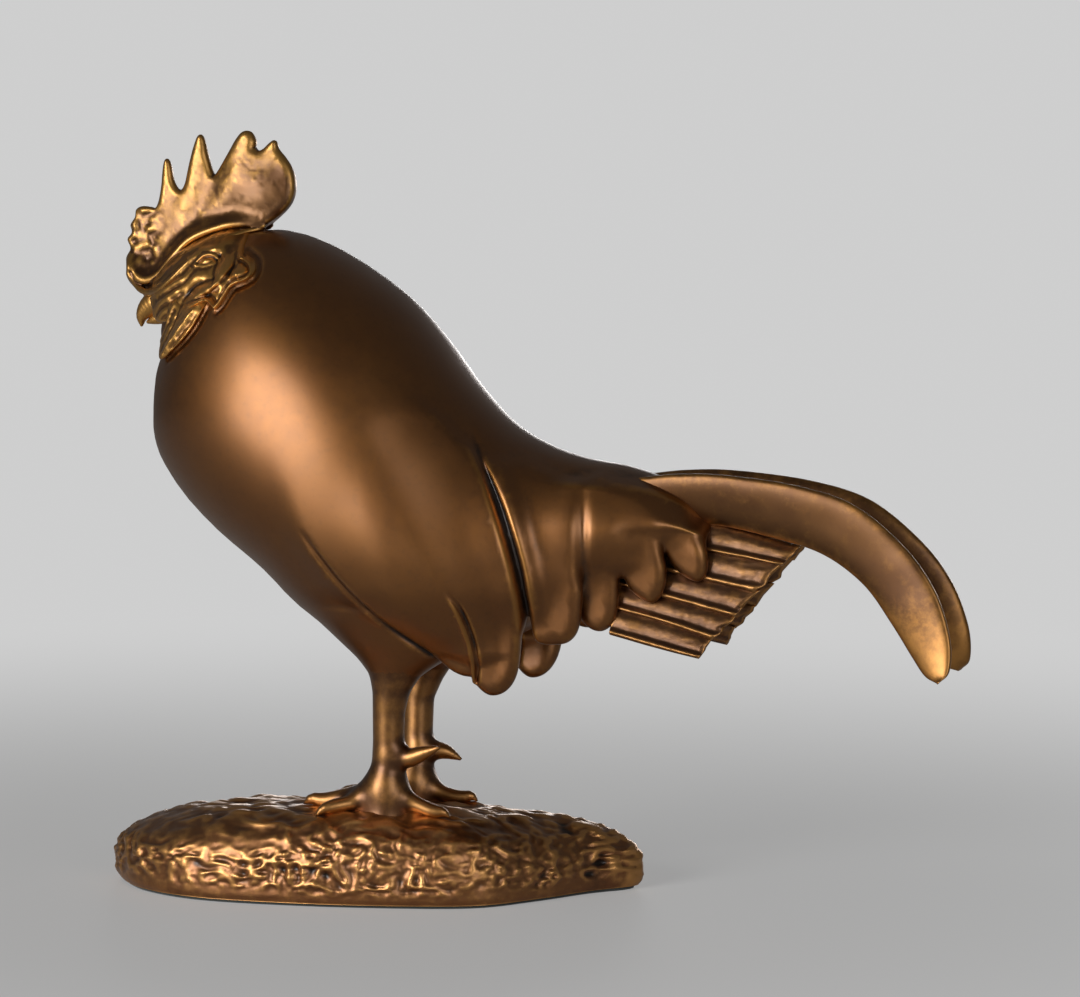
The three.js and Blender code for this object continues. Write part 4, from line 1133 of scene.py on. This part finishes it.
# Head: the face is a cast bronze mask, welded over the end of the neck. Its rear edge stands
# off the neck as a wavy rim behind the ear and the cheek, and folds run round the eye.
HEAD_PITCH = 0.45
HEAD_SCALE = (0.8, 3.0)  # fine and broad distance for the masks of its small forms
HEAD_ROUNDNESS = 2.1
HEAD_STATIONS = [
    (-110, 259, -110.5, 255, 3), (-106, 264, -108, 252, 7), (-99, 271, -105, 249.5, 12),
    (-90, 279, -103, 248, 17.5), (-77, 286, -101.5, 245, 23.5), (-66, 289, -100, 240, 27.4),
    (-54, 289.2, -98.5, 233, 30.6), (-42, 289, -101, 217, 40.5),
]
FACE = [
    (-60, 292), (-55.5, 287), (-53.7, 282.5), (-51.7, 279.8), (-48.4, 278.5), (-44.9, 276.5), (-43, 273.2),
    (-43.6, 270.4), (-45.8, 268.4), (-48.7, 267.3), (-51.6, 265.9), (-53.6, 262.4), (-55.7, 258.4),
    (-58.2, 256.2), (-60.8, 257.8), (-64, 259), (-72, 256), (-80, 252.6), (-88, 249.4), (-96, 249.6),
    (-99.4, 256), (-100, 262), (-100, 270), (-92, 282), (-78, 294),
]
FACE_STEP = 0.9  # how far the face stands over the skull and the neck
EYE = (-68.9, 276.4)
# From the eye: the upper lid, the lower lid, the slit between them, the fold of the brow, the
# groove behind the eye, the one behind the ear, the cheek's ridge and the groove along it
FACE_FOLDS = [
    ([(-5.2, -1.6), (-1.5, 2.1), (3, 2.3), (6, 0.2)], 0.8, 0.9),
    ([(-4.8, -2), (-0.5, -2.2), (4.4, -0.8)], 0.8, 0.6),
    ([(-4.2, -1.2), (-1, 1.1), (2.6, 1.4), (5, 0)], 0.5, -1.0),
    ([(-9, 0.6), (-3, 4.8), (5, 5.2), (10, 2)], 1.4, 0.6),
    ([(5.6, 2), (5.4, -4), (7, -9)], 1.0, -1.0),
    ([(13.4, 3), (14.6, -1.6), (13.8, -5)], 0.9, -1.1),
    ([(10, -9.4), (1, -12.6), (-4, -19)], 2.0, 1.3),
    ([(7, -7.4), (-3, -10.6), (-9, -17)], 1.0, -0.8),
]
# From the eye: the places, half lengths, half widths, turns and heights of the eyeball, the
# cheek under it, the brow, the ear and the swelling behind the ear
FACE_SWELLINGS = [
    (0, 0, 2.8, 1.2, 14, 1.5), (-3, -7, 6, 3.2, 30, 2.4), (5.5, 6.4, 9, 3, 24, 2.4),
    (10, -3.5, 3.4, 4.6, 0, 1.5), (18.4, -5, 2.8, 2.8, 0, 2.6),
]


def folds(rows, x, z, start=(0, 0)):
    """Rounded ridges along lines of the side view, or grooves where the height is negative.
    Each row holds a line, which is measured from the start, and its width and height."""
    total = 0
    for line, width, height in rows:
        line = [(start[0] + back, start[1] + up) for back, up in line]
        total = total + height * bell(near(line, x, z), width)
    return total


def flat_lumps(x, z, size, seed):
    """Random heights over the side view"""
    x, z = np.broadcast_arrays(x, z)
    places = np.stack([x.ravel(), np.zeros(x.size), z.ravel()], 1)
    return lumps(places, size, seed).reshape(x.shape)


def face_relief(x, z):
    """Height of the eye and the folds of the face over the smooth head"""
    height = folds(FACE_FOLDS, x, z, EYE)
    for back, up, long, wide, turn, lift in FACE_SWELLINGS:
        height = height + swelling((EYE[0] + back, EYE[1] + up), long, wide, turn, lift, x, z)
    crumpled = ramp(-70, -78, x)
    warp = 1.6 * flat_lumps(x, z, 9, 61)
    flowing = np.sin((z - 0.6 * x + warp) / 0.85) * (0.6 + 0.4 * flat_lumps(x, z, 6, 64))
    fine = 0.15 * flat_lumps(x - 0.3 * z, z + 0.4 * x, 2.0, 62) + 0.2 * flat_lumps(x, z + 0.5 * x, 3.4, 63)
    return height + 0.6 * crumpled * flowing + fine


def face_mask():
    """The face lies on the head and the neck and ends in a thick rolled edge"""
    low, high = (-104, -47, 243), (-39, 0, 296)
    y = space(low, high, HEAD_PITCH)[1]
    x, z = side_view(low, high, HEAD_PITCH)
    skull = girth(lie_of(HEAD_STATIONS, x, z), y, HEAD_ROUNDNESS, 4)
    neck = girth(lie_of(BODY_STATIONS, x, z), y, BODY_ROUNDNESS, 4)
    outline = edge_distance(closed_line(FACE), x, z)
    edge = 2.0 * bell(outline + 1.2, 0.8) - 1.1 * bell(outline + 3, 0.8)
    edge = edge * ramp(-78, -66, x) * ramp(284, 274, z)
    merged = ramp(-66, -57, x) * ramp(276, 283, z)
    raised = (face_relief(x, z) + FACE_STEP) * (1 - merged) + edge - 0.5 * merged
    skull = np.minimum(skull, neck) - through(raised)
    full = both_sides(-blend(-skull, through(-outline), 1.2))
    skin_of(full, low, HEAD_PITCH, FACE_BRONZE, "face_mask", "rubbed_gold", ["head"], HEAD_SCALE)


FACE_BRONZE = bronze(
    "face bronze", (0.2, 0.08, 0.014), (0.6, 0.3, 0.062),
    rubbed_and_painted_light=0.75, grain=380, bump=0.03, dirt_and_shade=1.5,
)
face_mask()

# Beak: two cast halves, welded to the face. The upper one hooks down over the lower one,
# and the line of the mouth runs back between them under the front of the comb.
BEAK_PITCH = 0.35
NOSTRIL = (-103, 4.4, 258)
NOSTRIL_HALF = (1.6, 1.2, 0.9)


def beak(name, points, radii, has_nostrils):
    """One half of the beak, round along a bent line"""
    low, high = (-116, -9, 241), (-88, 9, 266)
    grid = space(low, high, BEAK_PITCH)
    field = limb(grid, points, radii, 14)
    if has_nostrils:
        x, y, z = grid
        apart = zip((x, np.abs(y), z), NOSTRIL, NOSTRIL_HALF)
        nostril = np.sqrt(sum(((place - at) / size) ** 2 for place, at, size in apart)) - 1
        field = -blend(-field, nostril, 0.8)
    title, solids = f"beak_{name}_half", [f"beak_{name}"]
    skin_of(field, low, BEAK_PITCH, FACE_BRONZE, title, "rubbed_gold", solids, HEAD_SCALE)


beak(
    "upper",
    [(-91, 0, 259.2), (-101, 0, 257.4), (-107.2, 0, 254.2), (-110.6, 0, 250), (-111, 0, 245.8)],
    [7.0, 6.1, 4.6, 2.7, 0.8], True,
)
beak(
    "lower",
    [(-90, 0, 252), (-98, 0, 250.4), (-103.8, 0, 248.8), (-107.8, 0, 247.2)],
    [5.2, 3.8, 2.6, 0.9], False,
)

# Comb: one thick cast blade with five points, swollen at the rear and crumpled at the front.
# Its root rolls outwards into a lip that is welded to the crown of the head.
COMB = [
    (-108, 259), (-113.5, 262.5), (-116.4, 267.5), (-115.4, 271.5), (-117.2, 275.5), (-115.6, 279.6),
    (-117, 283.6), (-114.8, 286.6), (-115.6, 290), (-113.4, 293), (-113, 296.6), (-110.2, 298.2),
    (-106.2, 298), (-103.6, 297.6), (-102, 301), (-100.4, 309), (-99.2, 315.5), (-98.2, 318.4),
    (-97, 316), (-95.6, 310.6), (-93.6, 306.8), (-91.4, 305.6), (-89.2, 308.6), (-87, 315.6), (-84.8, 323.6),
    (-82.8, 328.8), (-81.2, 327.6), (-79.4, 320), (-77.4, 314), (-75.4, 311.8), (-72.4, 315), (-68.4, 321.4),
    (-64.8, 327.4), (-61.8, 330.6), (-58.8, 330.4), (-57, 327), (-57.2, 324.2), (-55, 322.2), (-52, 323.4),
    (-49.4, 325.8), (-47.4, 326.8), (-46.2, 323.4), (-42.6, 319), (-39.6, 314), (-38, 308), (-38.8, 302.6),
    (-41.8, 297.8), (-46.6, 293.6), (-53, 289.4), (-59, 287.2), (-66, 284), (-73, 279.4), (-79.6, 273.4),
    (-86.6, 267), (-94, 261.8), (-101, 260),
]
COMB_SKIRT = [
    (-113.4, -2.5, 270), (-111.6, -5, 264.8), (-106.5, -9.5, 261.6), (-100.5, -14, 261.3),
    (-93.5, -21.3, 262.9), (-85.8, -25, 268.2), (-78.9, -24.7, 274.6), (-72.6, -21.4, 280.5),
    (-65.7, -16.7, 285), (-58.6, -9.4, 288.3), (-52, -4.5, 289.3),
]
SKIRT_RADII = [1.3, 1.5, 1.4, 1.1, 1.0, 0.9, 0.9, 0.9, 0.9, 0.9, 0.7]
COMB_RIDGE = [
    (-114.4, -1.5, 271.5), (-111.4, -5.4, 267.6), (-105.6, -7.4, 265.8), (-98.5, -9, 269),
    (-91, -9.4, 277.6), (-83.4, -9, 284.6), (-70.4, -8, 289.8), (-60.2, -6.4, 291.2), (-51, -4.6, 290.4),
]
RIDGE_RADII = [1.4, 1.9, 1.8, 1.6, 1.4, 1.3, 1.2, 1.1, 0.8]
COMB_HALF = 3.2  # half thickness next to the ridge
COMB_THINNING = 1.6  # loss of half thickness towards the points
COMB_LEAST_HALF = 0.9
COMB_RUBBED = 0.5
# Place, half length, half width, turn and height: the swollen rear, and the painted shade at the rear, where
# the blade turns away from the light
COMB_SWELLING = ((-55, 306), 13, 13, 0, 3.4)
COMB_PAINTED_SHADE = ((-52, 300), 15, 9, 25, 1.9)
COMB_FOLDS = [
    ([(-104, 272), (-97, 284), (-88, 300), (-82.6, 322)], 5.0, 0.8),
    ([(-93, 278), (-80, 290), (-69, 306), (-61, 327)], 5.4, 1.1),
]


def side_course(line):
    """The line's course in the side view"""
    return [(x, z) for x, _, z in line]


COMB_BRONZE = bronze(
    "comb bronze", (0.12, 0.044, 0.007), (0.46, 0.23, 0.044),
    rubbed_and_painted_light=None, grain=380, bump=0.03,
)


def comb_blade():
    """The blade with its swollen rear, crumpled front, folds, skirt and rolled lip"""
    low, high = (-121, -30, 252), (-34, 0, 334)
    grid = space(low, high, HEAD_PITCH)
    y = grid[1]
    x, z = side_view(low, high, HEAD_PITCH)
    outline = edge_distance(closed_line(COMB, 5), x, z) - 0.9 * ramp(304, 318, z)
    ridge = near(side_course(COMB_RIDGE), x, z)
    ridge_z = np.interp(x, *zip(*side_course(COMB_RIDGE)[1:]))
    half = COMB_HALF - COMB_THINNING * ramp(6, 44, ridge) + swelling(*COMB_SWELLING, x, z)
    half = half + folds(COMB_FOLDS, x, z)
    crumpled = ramp(-99, -107, x) * ramp(270, 276, z)
    half = half + crumpled * 0.9 * flat_lumps(x + 0.4 * z, z - 0.3 * x, 3.2, 71)
    half = half + 0.14 * flat_lumps(x, z, 5, 72) + 0.07 * flat_lumps(x, z, 1.6, 73)
    half = half + (5.4 - 3.4 * ramp(-70, -50, x)) * bell(ridge, 4.2)
    skull = side_width(lie_of(HEAD_STATIONS, x, z), HEAD_ROUNDNESS)
    below = ramp(1.0, -1.5, z - ridge_z)
    half = np.maximum(half, (skull + 1.3) * below)
    groove = near([(px + 1.6, pz - 2.2) for px, pz in side_course(COMB_RIDGE)], x, z)
    half = np.maximum(half - 1.3 * bell(groove, 1.1), COMB_LEAST_HALF)
    steep = np.hypot(*np.gradient(half, HEAD_PITCH))
    slope = 1 / np.sqrt(1 + np.minimum(steep, 4) ** 2)
    soft = np.minimum(3.2, 0.8 + half * 0.7)
    half, slope, soft, outline = map(through, (half, slope, soft, outline))
    rounding = np.maximum(outline + soft, 0) ** 2 / (2 * soft)
    field = -blend(-(np.abs(y) - half + rounding) * slope, -outline, 0.9)
    skirt = limb(grid, COMB_SKIRT, SKIRT_RADII, 30)
    lip = limb(grid, COMB_RIDGE, RIDGE_RADII, 30)
    full = both_sides(blend(blend(field, skirt, 1.4), lip, 1.2))
    title, solids = "comb_blade", ["comb"]
    comb = skin_of(full, low, HEAD_PITCH, COMB_BRONZE, title, "rubbed_gold", solids, HEAD_SCALE)
    # The blade's share of gold, less a painted shade over its rear
    rub_and_paint_light(comb, lambda x, y, z: COMB_RUBBED - swelling(*COMB_PAINTED_SHADE, x, z))


comb_blade()

# Wattles: a folded cast flap on each side hangs from the corner of the mouth to a point. It
# is welded on under the cheek, and its rear edge stands clear of the neck.
WATTLE = [
    (-63.4, 261), (-64.9, 255.8), (-68.8, 248.6), (-74, 242.6), (-80, 237.8), (-83.5, 234.9), (-86.4, 233.7),
    (-89, 234.5), (-91.4, 237), (-92.3, 240.4), (-90.6, 243.6), (-88.4, 246), (-87, 250), (-87, 255),
    (-84, 261), (-76, 264), (-68, 264),
]
WATTLE_FOLDS = [
    ([(-88, 237), (-84, 244), (-77, 254)], 1.2, -0.8),
    ([(-85.6, 236.6), (-78, 245), (-71, 254)], 1.5, 0.7),
    ([(-84.6, 234), (-76, 240.6), (-69, 248.6), (-65, 256)], 1.0, 0.8),
    ([(-90, 241), (-86, 250), (-82, 260)], 1.1, 1.0),
    ([(-87, 236), (-82, 247), (-77, 260)], 0.9, -0.8),
]
WATTLE_HALF = 1.7  # half thickness
WATTLE_SPREAD = 22  # least distance from the middle plane
WATTLE_STEP = 0.7  # how far its middle stands over the skull and the neck


def wattle(side, sign):
    """One creased flap, laid over the cheek and the neck"""
    low, high = (-98, -50, 229), (-58, -8, 268)
    y = space(low, high, HEAD_PITCH)[1]
    x, z = side_view(low, high, HEAD_PITCH)
    skull = np.maximum(
        side_width(lie_of(HEAD_STATIONS, x, z), HEAD_ROUNDNESS),
        side_width(lie_of(BODY_STATIONS, x, z), BODY_ROUNDNESS),
    )
    skull = np.maximum(skull, WATTLE_SPREAD) - 4 * ramp(255, 263, z)
    creases = folds(WATTLE_FOLDS, x, z) + 0.5 * flat_lumps(x, z, 2.4, 81)
    outline = edge_distance(closed_line(WATTLE), x, z)
    middle = through(skull + WATTLE_STEP + creases)
    deep = (np.abs(np.abs(y) - middle) - WATTLE_HALF) * 0.8
    field = -blend(-deep, -through(outline), 1.8)
    title, solids, turn = f"wattle_flap_{side}", [f"wattle_{side}"], (1, -sign, 1)
    skin_of(field, low, HEAD_PITCH, FACE_BRONZE, title, "rubbed_gold", solids, HEAD_SCALE, turn)


for side, sign in SIDES:
    wattle(side, sign)

# Studio: a pale floor that runs to the horizon, a soft grey room, one large soft lamp from
# the front left, a weak one from the right and a long one behind that lights the outline.
AZIMUTH = math.radians(18)
ELEVATION = math.radians(6.2)
FOCAL_LENGTH = 150
SENSOR_WIDTH = 36
BACKDROP = (0.62, 0.62, 0.62, 1)
ROOM_LIGHT = (0.1, 0.1, 0.1, 1)
FLOOR_COLOUR = (0.6, 0.595, 0.585, 1)
FLOOR_REACH = 30
SQUARE = ((-1, -1), (1, -1), (1, 1), (-1, 1))
FADE_START = 0.16  # distances from the figure between which the floor fades, in metres
FADE_END = 0.9
LAMP_AIM = (0.03, 0, 0.2)
CAMERA_PLACE = (0.669510, -1.832720, 0.384216)


def pale_floor():
    """Pale matt floor that passes into the plain backdrop away from the figure"""
    material, tree, shader = new_material("pale floor")
    feed(tree, shader, {"Base Color": FLOOR_COLOUR, "Roughness": 0.6, "Specular IOR Level": 0.2})
    reach = add_node(tree, "ShaderNodeVectorMath", {0: here(tree)}, operation="LENGTH")["Value"]
    seen = add_node(tree, "ShaderNodeLightPath", {})["Is Camera Ray"]
    glow = add_node(tree, "ShaderNodeEmission", {"Color": BACKDROP})[0]
    share = maths(tree, "MULTIPLY", spread(tree, reach, FADE_START, FADE_END, 0.4), seen)
    both = add_node(tree, "ShaderNodeMixShader", {0: share, 1: shader.outputs["BSDF"], 2: glow})
    feed(tree, tree.nodes["Material Output"], {"Surface": both[0]})
    return material


def floor():
    """The plane that the figure stands on"""
    mesh = bpy.data.meshes.new("floor")
    corners = [(x * FLOOR_REACH, y * FLOOR_REACH, 0) for x, y in SQUARE]
    mesh.from_pydata(corners, [], [(0, 1, 2, 3)])
    mesh.materials.append(pale_floor())
    set_out("floor", mesh)


def stood(across, up, away, place):
    """Matrix for an object at a place, with its own axes turned to these"""
    return Matrix(np.column_stack([across, up, away, place]).tolist() + [(0, 0, 0, 1)])


def lamp(name, place, size, power):
    """Rectangular soft lamp that looks at the figure"""
    light = bpy.data.lights.new(name, "AREA")
    light.shape = "RECTANGLE"
    light.size, light.size_y = size
    light.energy = power
    obj = set_out(name, light)
    away = np.subtract(place, LAMP_AIM)
    away /= np.linalg.norm(away)
    across = np.cross((0, 0, 1), away)
    across /= np.linalg.norm(across)
    obj.matrix_world = stood(across, np.cross(away, across), away, place)
    obj.visible_camera = False


floor()
lamp("key", place=(-0.95, -2.05, 0.55), size=(1.2, 1.5), power=45)
lamp("fill", place=(1.6, -1.6, 0.5), size=(1.0, 1.2), power=10)
lamp("rim", place=(-0.1, 2.1, 0.3), size=(1.8, 0.25), power=8)

world = bpy.data.worlds.new("studio")
world.use_nodes = True
sky = world.node_tree
room = sky.nodes["Background"]
feed(sky, room, {"Color": ROOM_LIGHT})
backdrop = add_node(sky, "ShaderNodeBackground", {"Color": BACKDROP})[0]
seen = add_node(sky, "ShaderNodeLightPath", {})["Is Camera Ray"]
both = add_node(sky, "ShaderNodeMixShader", {0: seen, 1: room.outputs["Background"], 2: backdrop})
feed(sky, sky.nodes["World Output"], {"Surface": both[0]})
bpy.context.scene.world = world

lens = bpy.data.cameras.new("camera")
lens.lens = FOCAL_LENGTH
lens.sensor_width = SENSOR_WIDTH
lens.clip_start = 0.1
lens.clip_end = 100
camera = set_out("camera", lens)
right = (math.cos(AZIMUTH), math.sin(AZIMUTH), 0)
level = math.cos(ELEVATION)
back = (math.sin(AZIMUTH) * level, -math.cos(AZIMUTH) * level, math.sin(ELEVATION))
camera.matrix_world = stood(right, np.cross(back, right), back, CAMERA_PLACE)
bpy.context.scene.camera = camera
bpy.context.scene.view_settings.view_transform = "Standard"
